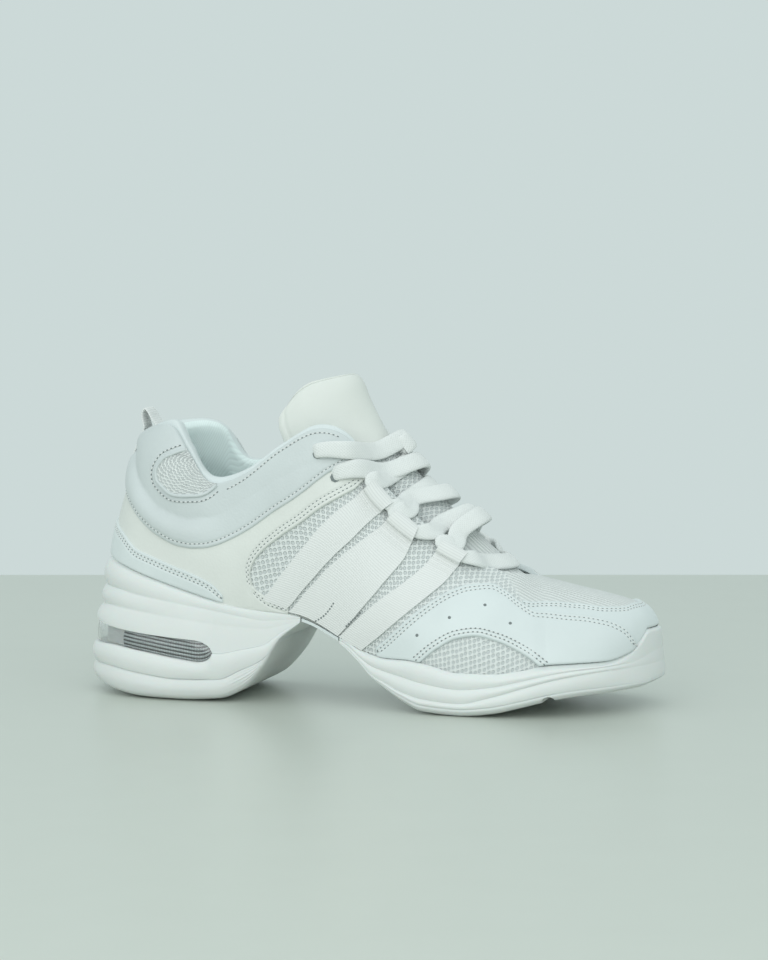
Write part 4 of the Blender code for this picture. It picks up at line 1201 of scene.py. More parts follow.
# Upper: its wall, the steps of its shell, and where the rim, the throat and the knit begin.
WALL = 2.4
COLLAR_PADDING = 5.0
UPPER_COLUMNS = 480
OUTER_STEPS = 46
INNER_STEPS = 26
CROWN_TURNS = np.radians(np.arange(22.5, 180, 22.5))
CROWN_BULGE = ([9, 12, 14], [0.3, 0.2, 0.05])
LINING_STEP = 4
RIM_SHARE = 0.93
RIM_FRONT_ROW = 9.7
KNIT_ROW = 13.4
KNIT_SLANT = 2.2
KNIT_BLEND = 0.1


def wall_thickness(r, v):
    """Wall of the upper, thicker where the collar is padded."""
    padded = np.interp(row_of(r), [5.5, 7.5], [1, 0]) * np.interp(v, [0.55, 0.8], [0, 1])
    return WALL + COLLAR_PADDING * padded


def drop_faces(piece, chosen):
    bpy.ops.object.mode_set(mode="EDIT")
    bpy.ops.mesh.select_mode(type="FACE")
    bpy.ops.mesh.select_all(action="DESELECT")
    bpy.ops.object.mode_set(mode="OBJECT")
    piece.data.polygons.foreach_set("select", chosen)
    bpy.ops.object.mode_set(mode="EDIT")
    bpy.ops.mesh.delete(type="FACE")
    bpy.ops.object.mode_set(mode="OBJECT")


def make_upper():
    """The shell: mesh and knit outside, a leather rim at the collar, and the lining inside."""
    r = np.linspace(0, RING, UPPER_COLUMNS + 1)[:, None]
    up = np.linspace(0, 1, OUTER_STEPS)
    down = np.linspace(1, 0, INNER_STEPS)[None]
    outer = last_point(r, up[None])
    inner = off_last(*np.broadcast_arrays(r, down), -wall_thickness(r, down))
    turn = CROWN_TURNS[None, :, None]
    edge, lining = outer[:, -1:], inner[:, :1]
    width = np.linalg.norm(edge - lining, axis=-1, keepdims=True)
    bulge = np.interp(row_of(r), *CROWN_BULGE)[..., None] * width
    crown = edge + (lining - edge) * 0.5 * (1 - np.cos(turn)) + bulge * np.sin(turn) * UP
    points = np.concatenate([outer, crown, inner, outer[:, :1]], 1)
    middle = OUTER_STEPS // 2
    girth = run_lengths(outer, 0)[:, middle:middle + 1] + 0 * points[..., 0]
    piece, i, j = laid_grid("upper", points, (girth, run_lengths(points, 1)))
    mesh = piece.data
    knit = mesh.attributes.new("knit", "FLOAT", "POINT")
    row = row_of(r[i, 0])
    share = up[np.minimum(j, OUTER_STEPS - 1)]
    in_rim = (share >= RIM_SHARE) & (row < RIM_FRONT_ROW)
    knit.data.foreach_set("value", np.clip((row - KNIT_ROW - KNIT_SLANT * (1 - share)) / KNIT_BLEND, 0, 1))
    corners = [list(p.vertices) for p in mesh.polygons]
    low_j = np.array([min(j[c]) for c in corners])
    closed_row = np.array([min(row[c]) for c in corners])
    rim_faces = np.array([in_rim[c].all() for c in corners])
    in_crown = (low_j >= OUTER_STEPS - 1) & (low_j < OUTER_STEPS + turn.size)
    lining_faces = low_j >= OUTER_STEPS + LINING_STEP
    in_throat = in_crown & (closed_row > RIM_FRONT_ROW)
    skin = np.where(in_throat, 2, np.where(lining_faces, 1, np.where(in_crown | rim_faces, 2, 0)))
    mesh.polygons.foreach_set("material_index", skin.astype(np.int32))
    drop_faces(piece, in_crown & (closed_row >= THROAT_ROW))
    close_mesh(piece, fill=False)
    finishes = [finish_named(name) for name in ("side mesh", "lining", "cool leatherette")]
    return finish(piece, finishes, ["upper"], ROUND_ANGLE)


# Heel window: depths of the cores and of the clear shell from the heel's side, and their rows.
CORE_DEPTHS = (-2.5, -SLOT_DEPTH + 0.5)
SHELL_DEPTHS = (-1.2, -2.0)
CORE_ROWS = runs((4.83, 4.4, 14), (4.35, 2.45, 44))
SHELL_ROWS = runs((4.83, 4.4, 14), (4.35, 0, 60))
WINDOW_BULGE = 0.6


def window_sheet(r, front, back):
    """Closed loops of a sheet in the heel unit's slot, between two depths."""
    line = heel_levels(r)
    swell = line["swell"][:, None]
    middle = 0.5 * (line["slot_top"] + line["slot_base"])[:, None]
    half = np.maximum(0.5 * (line["slot_top"] - line["slot_base"])[:, None] - 0.3, 0.05)
    up = np.linspace(-1, 1, 17)[None]
    height = middle + half * up
    slab = (6.2 - 0.3 * up) * swell
    bulge = WINDOW_BULGE * (1 - up**2)
    face = side_point(r[:, None], slab + front + bulge, height)
    rear = side_point(r[:, None], slab + back + bulge * (back > -3), height)
    return np.concatenate([face, rear[:, ::-1]], 1)


def make_window():
    """The grey lined cores at the sides and the clear shell in the heel unit's slot."""
    core = [finish_named("window core")]
    lateral, medial = (window_sheet(r, *CORE_DEPTHS) for r in (CORE_ROWS, RING - CORE_ROWS))
    mould("window_core_lateral", lateral, core, ["cushion_window"])
    mould("window_core_medial", medial, core)
    r = np.concatenate([SHELL_ROWS, RING - SHELL_ROWS[-2::-1]])
    clear = [finish_named("clear plastic")]
    return mould("window_shell", window_sheet(r, *SHELL_DEPTHS), clear)


# Rows of the sole units, closer where they turn, and the cross grooves of the treads.
HEEL_ROWS = runs((0, 4.3, 90), (4.35, 4.9, 22), (4.95, 6.9, 44))
HEEL_TREAD_ROWS = runs((0, 5, 160), (5.03, 6.36, 40))
FORE_ROWS = runs((8.2, 18, 120), (18.05, 20, 50))
FORE_TREAD_ROWS = runs((FOREFOOT_TREAD_REAR_ROW, 10.4, 24), (10.45, 20, 250))
heel_lugs = lug_depth((-103, -93, -83, -73, -63), 22, 1.4)
fore_lugs = lug_depth((33, 43, 53, 63, 74, 99, 109), 30, 1.3)


def notched_lugs(x, y):
    return np.maximum(fore_lugs(x, y), np.minimum(notch_rise(x), TREAD_LAYER - 0.6))


def make_sole_units():
    """The moulded heel and forefoot units, each with its tread."""
    heel = unit_loops(HEEL_ROWS, heel_side, HEEL)
    heel_tread = tread_loops(HEEL_TREAD_ROWS, heel_tread_side, heel_lugs)
    forefoot = unit_loops(FORE_ROWS, forefoot_side, FOREFOOT)
    forefoot_tread = tread_loops(FORE_TREAD_ROWS, forefoot_tread_side, notched_lugs)
    foam = [finish_named("moulded sole")]
    rubber = [finish_named("tread rubber")]
    for name, sole, tread in (("heel", heel, heel_tread), ("forefoot", forefoot, forefoot_tread)):
        mould(f"{name}_sole", sole, foam, [f"{name}_sole"], ROUND_ANGLE)
        mould(f"{name}_outsole", tread, rubber, [f"{name}_outsole"])


INSOLE_INSET = 3.3
INSOLE_THICKNESS = 3.6
ARCH_ROWS = np.linspace(6.94, 8.16, 40)
ARCH_OVERHANG = 1.3


def make_inside():
    """The insole and the cover of the waist between the two sole units."""
    rows = np.linspace(0, TOE_ROW, 140)
    across = np.linspace(0, 1, 16)[None, :, None]
    lows, highs = [], []
    for r in (rows, RING - rows):
        low = foot(r) - outward(r) * INSOLE_INSET + 0.1 * UP
        lows.append(low[:, None])
        highs.append((low + INSOLE_THICKNESS * UP - outward(r) * 0.8)[:, None])
    crown = 0.5 * np.sin(math.pi * across) * UP
    under = (1 - across) * lows[0] + across * lows[1]
    over = (1 - across) * highs[0] + across * highs[1] + crown
    loops = np.concatenate([under, over[:, ::-1]], 1)
    mould("insole", loops, [finish_named("lining")], ["insole"])
    sides = [(foot(r) + outward(r) * ARCH_OVERHANG)[:, None] for r in (ARCH_ROWS, RING - ARCH_ROWS)]
    over = (1 - across) * sides[0] + across * sides[1]
    swell = 1.2 * np.sin(math.pi * across) ** 0.5 + 1.3
    loops = np.concatenate([over, (over - swell * UP)[:, ::-1]], 1)
    mould("arch_cover", loops, [finish_named("cool leatherette")], ["arch_cover"])


def tongue_values(t):
    table = np.array(TONGUE, float)
    places = np.arange(len(TONGUE)) + TINY
    return np.stack([smooth(t, places, table[:, k]) for k in range(table.shape[1])], -1)


def tongue_along(t):
    """Direction up the tongue, evened out near its top so that its sides don't fold."""
    step = np.interp(t, [6, 8], [0.05, 1.3])
    along = tongue_values(np.minimum(t + step, TONGUE_TOP)) - tongue_values(np.maximum(t - step, 0))
    return unit(along[..., :2])


def tongue_point(t, angle, depth=0.0):
    """Points on the tongue at station t and angle round its arch, at a depth under its face."""
    t, angle, depth = np.broadcast_arrays(np.asarray(t, float), angle, depth)
    value = tongue_values(t)
    along = tongue_along(t)
    across = (value[..., 2] - depth) * np.sin(angle) + TONGUE_SHIFT
    back = value[..., 3] - (value[..., 3] - depth) * np.cos(angle)
    x = value[..., 0] - back * along[..., 1]
    z = value[..., 1] + back * along[..., 0]
    return np.stack([x, across, z], -1)


def tongue_sheet(t, share, depth):
    """The tongue's shape with its top drawn up at the sides and its corners rounded."""
    wrap = TONGUE_WRAP * (1 + 0.09 * np.interp(t, *TONGUE_SPREAD))
    place = tongue_point(t, wrap * share, depth)
    along = tongue_along(t)
    side = np.abs(share)
    corner = np.clip((side - 0.6) / 0.4, 0, 1)
    rise = (12 * side**1.6 - 9.5 * corner**2) * np.clip((t - 6.5) / 3.5, 0, 1) ** 2
    return place + rise[..., None] * np.stack([along[..., 0], 0 * along[..., 0], along[..., 1]], -1)


def make_tongue():
    """Padded tongue: leather at the top, air mesh between the laces, knit at its lower end."""
    t = runs((0, 9, 100), (9.03, TONGUE_TOP, 44))[:, None]
    share = np.sin(np.linspace(-math.pi / 2, math.pi / 2, 81))[None]
    full = tongue_values(t)[..., 4] * (0.4 + 0.6 * np.cos(0.9 * TONGUE_WRAP * share))
    past = (t - TONGUE_END) / (TONGUE_TOP - TONGUE_END)
    end = np.where(past > 0, np.sqrt(np.clip(1 - past**2, 0, 1)), 1)
    side = np.sqrt(np.clip(1 - np.abs(share) ** 10, 0, 1))
    thickness = np.maximum(full * end * side, 0.2)
    beside = np.abs(share) - TONGUE_SEAM_SHARE
    side_seam = 0.6 * np.exp(-((beside / 0.014) ** 2)) * (t < 9.8)
    top_seam = 0.5 * np.exp(-(((t - TONGUE_SEAM_STATION) / 0.03) ** 2)) * (beside < 0)
    drop = 0.5 * (full - thickness)
    outer = tongue_sheet(t, share + 0 * t, drop + np.maximum(side_seam, top_seam) * (t > 6))
    inner = tongue_sheet(t, share + 0 * t, drop + thickness)
    loops = np.concatenate([outer, inner[:, ::-1], outer[:, :1]], 1)
    piece, i, j = laid_grid("tongue", loops)
    mesh = piece.data
    knit = mesh.attributes.new("knit", "FLOAT", "POINT")
    knit.data.foreach_set("value", np.clip((TONGUE_KNIT - t[i, 0]) / KNIT_BLEND, 0, 1))
    first = np.array([p.vertices[0] for p in mesh.polygons])
    across = np.array([min(j[list(p.vertices)]) for p in mesh.polygons])
    skin = np.where(across >= share.size - 1, 2, np.where(t[i[first], 0] < TONGUE_LEATHER, 1, 0))
    mesh.polygons.foreach_set("material_index", skin.astype(np.int32))
    close_mesh(piece)
    finishes = [finish_named(name) for name in ("cream leatherette", "tongue mesh", "lining")]
    finish(piece, finishes, ["tongue"])
    return piece


# Webbing: its thickness, its height off the last, its bar tacks, and the half sizes of its lace loop.
WEBBING_THICKNESS = 1.35
WEBBING_LIFT = 0.15
BAR_TACKS = (0.035, 0.06, 0.085, 0.11)
BAR_WIDTH = 0.007
LOOP_RADII = (3.5, 2.3)
LOOP_TURNS = np.radians(np.linspace(150, -100, 30))


def strap_places(edges, s, t):
    high, low = along_edge(edges[0], t), along_edge(edges[1], t)
    return tuple((1 - s) * a + s * b for a, b in zip(high, low))


def strap_turn(edges, medial, s):
    """Middle of a strap's lace loop at shares s of its width, and its directions onward and raised."""
    row, share = strap_places(edges, s[:, None], np.array([[0.06, 0.0]]))
    r = ring_place(row, medial)
    line = off_last(r, share, 1.1 + 0 * share)
    onward = unit(line[:, 1] - line[:, 0])
    raised = last_normal(r, share)[:, 1]
    raised = unit(raised - onward * (onward * raised).sum(-1, keepdims=True))
    return line[:, 1] + onward * (LOOP_RADII[0] - 0.4) + raised * 1.3, onward, raised


def make_strap(name, edges, medial):
    """Webbing strap from the feather to the throat, folded there to a loop for the lace."""
    s = 0.5 - 0.5 * np.cos(np.linspace(0, math.pi, 11))
    t = runs((1, 0.14, 60), (0.137, 0, 44))
    row, share = strap_places(edges, s[None], t[:, None])
    r = ring_place(row, medial)
    edge = 0.5 + 0.5 * np.sin(math.pi * np.clip(s, 0.08, 0.92)) ** 0.35
    bars = sum(np.exp(-(((t - place) / BAR_WIDTH) ** 2)) for place in BAR_TACKS)
    thick = (WEBBING_THICKNESS - 0.45 * bars[:, None]) * edge[None]
    outer = off_last(r, share, WEBBING_LIFT + thick)
    inner = off_last(r, share, WEBBING_LIFT + 0 * share)
    middle, onward, raised = strap_turn(edges, medial, s)
    turn = LOOP_TURNS[:, None, None]
    spoke = LOOP_RADII[0] * np.cos(turn) * onward[None] + LOOP_RADII[1] * np.sin(turn) * raised[None]
    rim = 0.6 * edge[None, :, None] * unit(spoke)
    face = np.concatenate([outer, middle[None] + spoke + rim])
    back = np.concatenate([inner, middle[None] + spoke - rim])
    loops = np.concatenate([face, back[:, ::-1]], 1)
    return mould(name, loops, [finish_named("webbing")], [name])


def tape(path, away, half_width, half_thickness, roundness=0.45, wrap=0.0):
    """Closed loops of a tape along a path, facing away, with rounded edges that wrap back."""
    ahead = unit(np.gradient(path, axis=0))
    across = unit(np.cross(away, ahead))
    flat = np.cross(ahead, across)
    turn = np.linspace(0, 2 * math.pi, 24, endpoint=False)[None, :, None]
    wide = np.sign(np.cos(turn)) * np.abs(np.cos(turn)) ** roundness
    deep = np.sign(np.sin(turn)) * np.abs(np.sin(turn)) ** 0.85
    sizes = (half_width, half_thickness, wrap)
    half_width, half_thickness, wrap = (np.reshape(size, (-1, 1, 1)) for size in sizes)
    loops = path[:, None] + half_width * wide * across[:, None]
    return loops + (half_thickness * deep - wrap * wide**2) * flat[:, None]


# Pull loop: shares and heights of its tape up the heel, and its bend over the collar from there.
PULL_LIFTS = ([0.49, 0.7, 0.77, 1], [1.3, 1.9, 4.0, 4.1])
PULL_BEND = np.array([
    [-0.6, 0, 3.5], [-0.6, 0, 6.4], [0.7, 0, 8.0], [2.3, 0, 6.6], [4.4, 0, 3.2], [7.4, 0, -0.4],
    [9.6, 0, -3.5],
])
PULL_STEPS = 130
PULL_HALF_WIDTH = 6.0
PULL_HALF_THICKNESS = 0.6
PULL_WRAP = 1.0


def make_pull_loop():
    """Tape up the back of the heel that stands over the collar as a finger loop."""
    v = np.linspace(PULL_LIFTS[0][0], 1, 9)
    path = off_last(0 * v, v, np.interp(v, *PULL_LIFTS))
    top = path[-1]
    path = curve_through(np.concatenate([path, top + PULL_BEND]), PULL_STEPS)
    ahead = unit(np.gradient(path, axis=0))
    away = np.stack([-ahead[:, 2], 0 * ahead[:, 2], ahead[:, 0]], -1)
    pinch = np.exp(-(((np.arange(PULL_STEPS) - 90) / 14.0) ** 2))
    wrap = PULL_WRAP * np.clip((top[2] + 1 - path[:, 2]) / 4, 0, 1) * (path[:, 0] < top[0] + 0.3)
    loops = tape(path, away, PULL_HALF_WIDTH - pinch, PULL_HALF_THICKNESS, wrap=wrap)
    return mould("pull_loop", loops, [finish_named("webbing")], ["pull_loop"])


# The lace: rows, shares, heights and widths out of the second and of the top eyelet, and how it goes
# through a loop: which edge of the strap, and its place down, outward and up from there.
EYELET_LEAD = [
    (8.52, 0.786, -1.0, 0.7), (8.58, 0.79, 2.2, 0.75), (8.95, 0.835, 3.0, 0.9), (9.5, 0.92, 3.2, 1.0),
]
TOP_LEAD = [
    (8.0, 0.873, -1.0, 0.7), (8.04, 0.876, 3.9, 0.75), (8.45, 0.89, 4.4, 0.85), (9.1, 0.94, 3.6, 0.95),
]
LACE_IN_LOOP = [
    (0, -1.5, 2.6, 0.6, 0.8), (0, 0, 0.8, 0.2, 0.66), (1, 0, 0.8, 0.2, 0.66), (1, 1.5, 2.6, 0.6, 0.8),
]
# Beside a loop: rows past the strap's edge, and the share and height there.
BESIDE_LOOP_ROWS = 0.42
BESIDE_LOOP_SHARE = 0.98
BESIDE_LOOP_LIFT = 2.6
# Across the tongue: shares of the way, and how far the lace rides up and bows there.
LACE_ACROSS = ((0.1, 0.1, 0.6), (0.3, 0.6, 1.0), (0.5, 1, 0.8), (0.7, 0.6, 0.4), (0.9, 0.1, 0.0))
LACE_REST = 1.9
LACE_OVER = 4.0
LACE_REACH = 0.85
LACE_SOFTNESS = 4.0
LACE_STEPS = 900
LACE_TOP_STEPS = 160


def lace_on_tongue(station, angle, lift, width=1.0):
    place = tongue_point(station, angle)
    away = unit(place - tongue_point(station, angle, 1.0))
    return np.concatenate([place + lift * away, 3 * away, [width]])


def lace_on_last(row, share, lift, medial, width=1.0):
    r = np.array(ring_place(row, medial), float)
    away = last_normal(r, np.array(share))
    return np.concatenate([last_point(r, share) + lift * away, 3 * away, [width]])


def lace_lead(lead, medial):
    return [lace_on_last(row, share, lift, medial, width) for row, share, lift, width in lead]


def lace_in_loop(number, medial):
    """Points of the lace through a strap loop, from above it to below it."""
    middle, onward, raised = strap_turn(STRAPS[number], medial, np.array([0.0, 1.0]))
    down = unit(middle[1] - middle[0])
    inside = []
    for end, along, out, lift, width in LACE_IN_LOOP:
        place = middle[end] + along * down + out * onward[end] + lift * raised[0]
        inside.append(np.concatenate([place, 3 * raised[0], [width]]))
    rows = [edge[0][0] + BESIDE_LOOP_ROWS for edge in STRAPS[number]]
    above, below = (lace_on_last(row, BESIDE_LOOP_SHARE, BESIDE_LOOP_LIFT, medial) for row in rows)
    return [above, *inside, below]


def lace_across(start, crest, end, side, over, arch=0.0):
    """Points across the tongue from one side to the other, through three stations."""
    points = []
    for f, rise, bow in LACE_ACROSS:
        station = start * (1 - f) * (1 - 2 * f) + crest * 4 * f * (1 - f) + end * f * (2 * f - 1)
        lift = LACE_REST + LACE_OVER * over * rise + arch * bow
        points.append(lace_on_tongue(station, side * LACE_REACH * (1 - 2 * f), lift))
    return points


def lace_course(points, count):
    """A soft course through lace points: place, direction of its face and width."""
    course = curve_through(points, count)
    reach = int(3 * LACE_SOFTNESS)
    kernel = np.exp(-0.5 * (np.arange(-reach, reach + 1) / LACE_SOFTNESS) ** 2)
    kernel /= kernel.sum()
    padded = np.pad(course, ((reach, reach), (0, 0)), mode="edge")
    return np.stack([np.convolve(column, kernel, mode="valid") for column in padded.T], -1)


def lay_lace(name, points, count, nodes=()):
    course = lace_course(points, count)
    sizes = bpy.context.scene.sneaker_sizes
    share = course[:, 6]
    half_width = 0.5 * (sizes.lace_width / MM) * share
    half_thickness = 0.5 * (sizes.lace_thickness / MM) * (1 + 0.3 * (1 - share))
    loops = tape(course[:, :3], unit(course[:, 3:6]), half_width, half_thickness, 0.6)
    return mould(name, loops, [finish_named("lace braid")], nodes)


def make_lace():
    """One lace from eyelet to eyelet, crossed over the tongue and led through the six loops."""
    near, far = -1, 1
    path = lace_lead(EYELET_LEAD, False)
    path += lace_across(5.05, 4.5, 4.6, near, 1) + lace_in_loop(0, True)
    path += lace_across(4.1, 3.85, 3.9, far, 0) + lace_in_loop(1, False)
    path += lace_across(3.1, 2.75, 2.6, near, 1.2) + lace_in_loop(2, True)
    path += lace_across(1.9, 1.45, 1.95, far, 0) + lace_in_loop(2, False)[::-1]
    path += lace_across(2.68, 2.55, 2.9, near, 0, 8.5) + lace_in_loop(1, True)[::-1]
    path += lace_across(3.7, 3.4, 4.1, far, 1) + lace_in_loop(0, False)[::-1]
    path += lace_across(4.75, 4.75, 5.05, near, 0)
    path += lace_lead(EYELET_LEAD, True)[::-1]
    lay_lace("lace", path, LACE_STEPS, ["lace"])
    for name, medial, side, lead in (("lace_near_top", False, near, 0.0), ("lace_far_top", True, far, 1.0)):
        top = lace_lead(TOP_LEAD, medial)
        top += [
            lace_on_tongue(5.75, side * 0.62, 2.8),
            lace_on_tongue(5.65, side * 0.25, 4.0),
            lace_on_tongue(5.6 - 0.2 * lead, -side * 0.02, 6.5 + lead),
            lace_on_tongue(5.3, -side * 0.2, 5.0),
            lace_on_tongue(5.35, -side * 0.1, 1.5, 0.8),
        ]
        lay_lace(name, top, LACE_TOP_STEPS)


def make_panels():
    # The collar panel takes the darkened leatherette: painted shade.
    make_panel("collar_panel", collar_panel(), 320, 34, "cool_leather", "collar shaded leatherette")
    cream = ("cream_leather", "cream leatherette")
    for side, medial in SIDES:
        make_panel(f"quarter_{side}", quarter_panel(medial), 150, 30, *cream)
    for side, medial in SIDES:
        make_panel(f"quarter_{side}_tail", quarter_tail(medial), 110, 20, *cream, ())
    cool = ("cool_leather", "cool leatherette")
    make_panel("heel_counter", counter_panel(), 220, 16, *cool)
    make_panel("toe_guard", guard_panel(), 420, 20, *cool)
    make_panel("toe_wing", wing_panel(), 200, 14, *cool)


def make_straps():
    for side, medial in SIDES:
        for number, edges in enumerate(STRAPS):
            make_strap(f"strap_{side}_{number + 1}", edges, medial)


def on_collar(row, share, medial, extra):
    """Points on the padded collar, raised by an extra lift, and the directions away from it."""
    r = ring_place(row, medial)
    return off_last(r, share, PANEL_BASE + collar_rolls(row, share) + extra), last_normal(r, share)


PIPING_RADII = (0.75, 0.6)


def make_inserts():
    """Air mesh at the ankle on both sides, with a rolled edge round it."""
    for side, medial in SIDES:
        t = np.linspace(0, 1, 70)
        s = np.linspace(0, 1, 30)[None]
        edge = INSERT_EDGES[side]
        low_row, low_share = along_edge(edge, t)
        high_row = edge[0][0] + (edge[-1][0] - edge[0][0]) * t
        row = (1 - s) * low_row[:, None] + s * high_row[:, None]
        share = (1 - s) * low_share[:, None] + s * COLLAR_EDGE
        face, _ = on_collar(row, share, medial, 0.35 + 0 * share)
        back, _ = on_collar(row, share, medial, -0.5 + 0 * share)
        loops = np.concatenate([face, back[:, ::-1]], 1)
        mould(f"ankle_insert_{side}", loops, [finish_named("ankle mesh")])
        t = np.linspace(0, 1, 140)
        path, away = on_collar(*along_edge(edge, t), medial, 0.45 + 0 * t)
        # The piping takes the darkened collar leatherette: painted shade.
        piping(f"ankle_piping_{side}", path, away, PIPING_RADII, "collar shaded leatherette")


def seam_path(panel, seam):
    """Points and face directions along one seam of a panel."""
    t = np.linspace(seam.start, 1, 700)

    def steps(height):
        share = np.minimum(seam.distance / height, 0.5)
        return share if seam.edge == "low" else 1 - share

    place, away = panel_surface(panel, t, steps)
    return place[:, 0], away[:, 0]


SEAM_END = 0.8


def evenly(place, away, pitch, offset=0.0):
    """Points, directions along and directions away at a pitch along a path."""
    length = run_lengths(place, 0)
    at = np.arange(SEAM_END + offset * pitch, length[-1] - SEAM_END, pitch)

    def sampled(array):
        return np.stack([np.interp(at, length, array[:, k]) for k in range(3)], -1)

    point = sampled(place)
    return point, unit(np.gradient(point, axis=0)), unit(sampled(away))


def beads(name, spots, finish_name):
    """One mesh of small flattened balls; each spot is points, along, away and three half sizes."""
    bpy.ops.object.select_all(action="DESELECT")
    bpy.ops.mesh.primitive_uv_sphere_add(segments=8, ring_count=5, radius=1.0)
    ball = bpy.context.object
    base = np.array([v.co for v in ball.data.vertices])
    faces = [list(p.vertices) for p in ball.data.polygons]
    bpy.data.objects.remove(ball)
    points = []
    for place, ahead, away, sizes in spots:
        across = unit(np.cross(away, ahead))
        ahead = np.cross(across, away)
        x, y, z = (base[None, :, k, None] * sizes[k] for k in range(3))
        points.append(place[:, None] + x * ahead[:, None] + y * across[:, None] + z * away[:, None])
    points = np.concatenate(points)
    count = len(base)
    mesh = bpy.data.meshes.new(name)
    mesh.from_pydata((MM * (points.reshape(-1, 3) - ORIGIN)).tolist(), [],
                     [[k * count + v for v in face] for k in range(len(points)) for face in faces])
    piece = bpy.data.objects.new(name, mesh)
    bpy.context.collection.objects.link(piece)
    return finish(piece, [finish_named(finish_name)], (), BEAD_ANGLE)


# Courses on the collar: beside the ankle inserts, and along the top edge from row to row.
INSERT_SEAM_GAP = 2.6
TOP_SEAM_ROWS = (5.55, 8.75)
TOP_SEAM_SHARES = ([5.5, 6.2, 7.0], [0.925, 0.95, 0.962])


def seam_courses():
    """All stitched courses as points and face directions."""
    panels = [collar_panel(), quarter_panel(False), quarter_panel(True), quarter_tail(False),
              quarter_tail(True), counter_panel(), guard_panel(), wing_panel()]
    courses = [seam_path(panel, seam) for panel in panels for seam in panel.seams]
    for side, medial in SIDES:
        t = np.linspace(0.04, 0.985, 300)
        place, away = on_collar(*along_edge(INSERT_EDGES[side], t), medial, 0 * t)
        ahead = unit(np.gradient(place, axis=0))
        beside = np.cross(ahead, away) * (-1 if medial else 1)
        courses.append((place + INSERT_SEAM_GAP * beside + 0.05 * away, away))
        row = np.linspace(*TOP_SEAM_ROWS, 260)
        courses.append(on_collar(row, np.interp(row, *TOP_SEAM_SHARES), medial, 0.02 + 0 * row))
        for distance in SEAM_GAPS:
            courses.append(moon_course(np.linspace(0, 1, 300), distance, medial))
    return courses


def moon_course(t, distance, medial):
    """A course outside the half-moon opening of the toe guard."""
    row, share = along_edge(HALF_MOON, t)
    r = ring_place(row, medial)
    place = off_last(r, share, PANEL_BASE + guard_lift(row, share))
    away = last_normal(r, share)
    ahead = unit(np.gradient(place, axis=0))
    beside = np.cross(away, ahead) * (-1 if medial else 1)
    return place + distance * beside, away


# Half sizes along, across and through, with stitches in shares of their pitch along the seam.
THREAD_SIZES = (0.36, 0.28)
# Holes, slits, perforations and eyelets are dark discs of painted shade lying just on the surface.
HOLE_SIZES = (0.29, 0.3, 0.12)
SLIT_PITCH = 1.5
SLIT_SIZES = (0.5, 0.4, 0.12)
PERFORATION_SIZES = (0.75, 0.75, 0.1)
EYELET_SIZES = (2.3, 2.3, 0.15)
QUARTER_EYELET_LIFT = 1.6


def round_holes(places, medial, lift, sizes):
    """Dark discs of painted shade for holes at places on the last, at a height that may depend on the row
    and share.
    """
    row, share = np.array(places).T
    r = ring_place(row, medial)
    spot = off_last(r, share, lift(row, share))
    return spot, np.broadcast_to([1.0, 0, 0], spot.shape), last_normal(r, share), sizes


def on_guard(row, share):
    return PANEL_BASE + guard_lift(row, share)


def on_eyelets(row, share):
    """The upper eyelet is in the collar, and the lower one in the quarter."""
    return np.array([PANEL_BASE + collar_rolls(row, share)[0] + 0.05, QUARTER_EYELET_LIFT])


def make_stitches():
    """Sewing thread, and dark discs of painted shade for the stitch holes, the strap slits, perforations
    and eyelet holes.
    """
    sizes = bpy.context.scene.sneaker_sizes
    pitch = sizes.stitch_pitch / MM
    thread = (THREAD_SIZES[0] * pitch, 0.5 * sizes.thread_width / MM, THREAD_SIZES[1])
    hole = (HOLE_SIZES[0] * pitch, *HOLE_SIZES[1:])
    threads = []
    # Dark discs of painted shade for every hole and slit.
    holes = []
    for course in seam_courses():
        threads.append((*evenly(*course, pitch, 0.5), thread))
        holes.append((*evenly(*course, pitch), hole))
    for _, medial in SIDES:
        for edge in STRAP_SLITS:
            row, share = along_edge(edge, np.linspace(0, 1, 60))
            r = ring_place(row, medial)
            slit = off_last(r, share, WEBBING_LIFT + WEBBING_THICKNESS + 0.05 + 0 * share)
            holes.append((*evenly(slit, last_normal(r, share), SLIT_PITCH), SLIT_SIZES))
        holes.append(round_holes(PERFORATIONS, medial, on_guard, PERFORATION_SIZES))
        holes.append(round_holes(EYELETS, medial, on_eyelets, EYELET_SIZES))
    beads("stitching", threads, "thread")
    # The holes are one mesh of dark discs: painted shade.
    beads("needle_hole_shades", holes, "needle hole shade")


def color_setting(name, color, about):
    return bpy.props.FloatVectorProperty(name=name, description=about, default=color, size=3, min=0, max=1,
                                         subtype="COLOR")


def length_setting(name, millimetres, about):
    return bpy.props.FloatProperty(name=name, description=about, default=millimetres * MM, min=0,
                                   unit="LENGTH", subtype="DISTANCE")


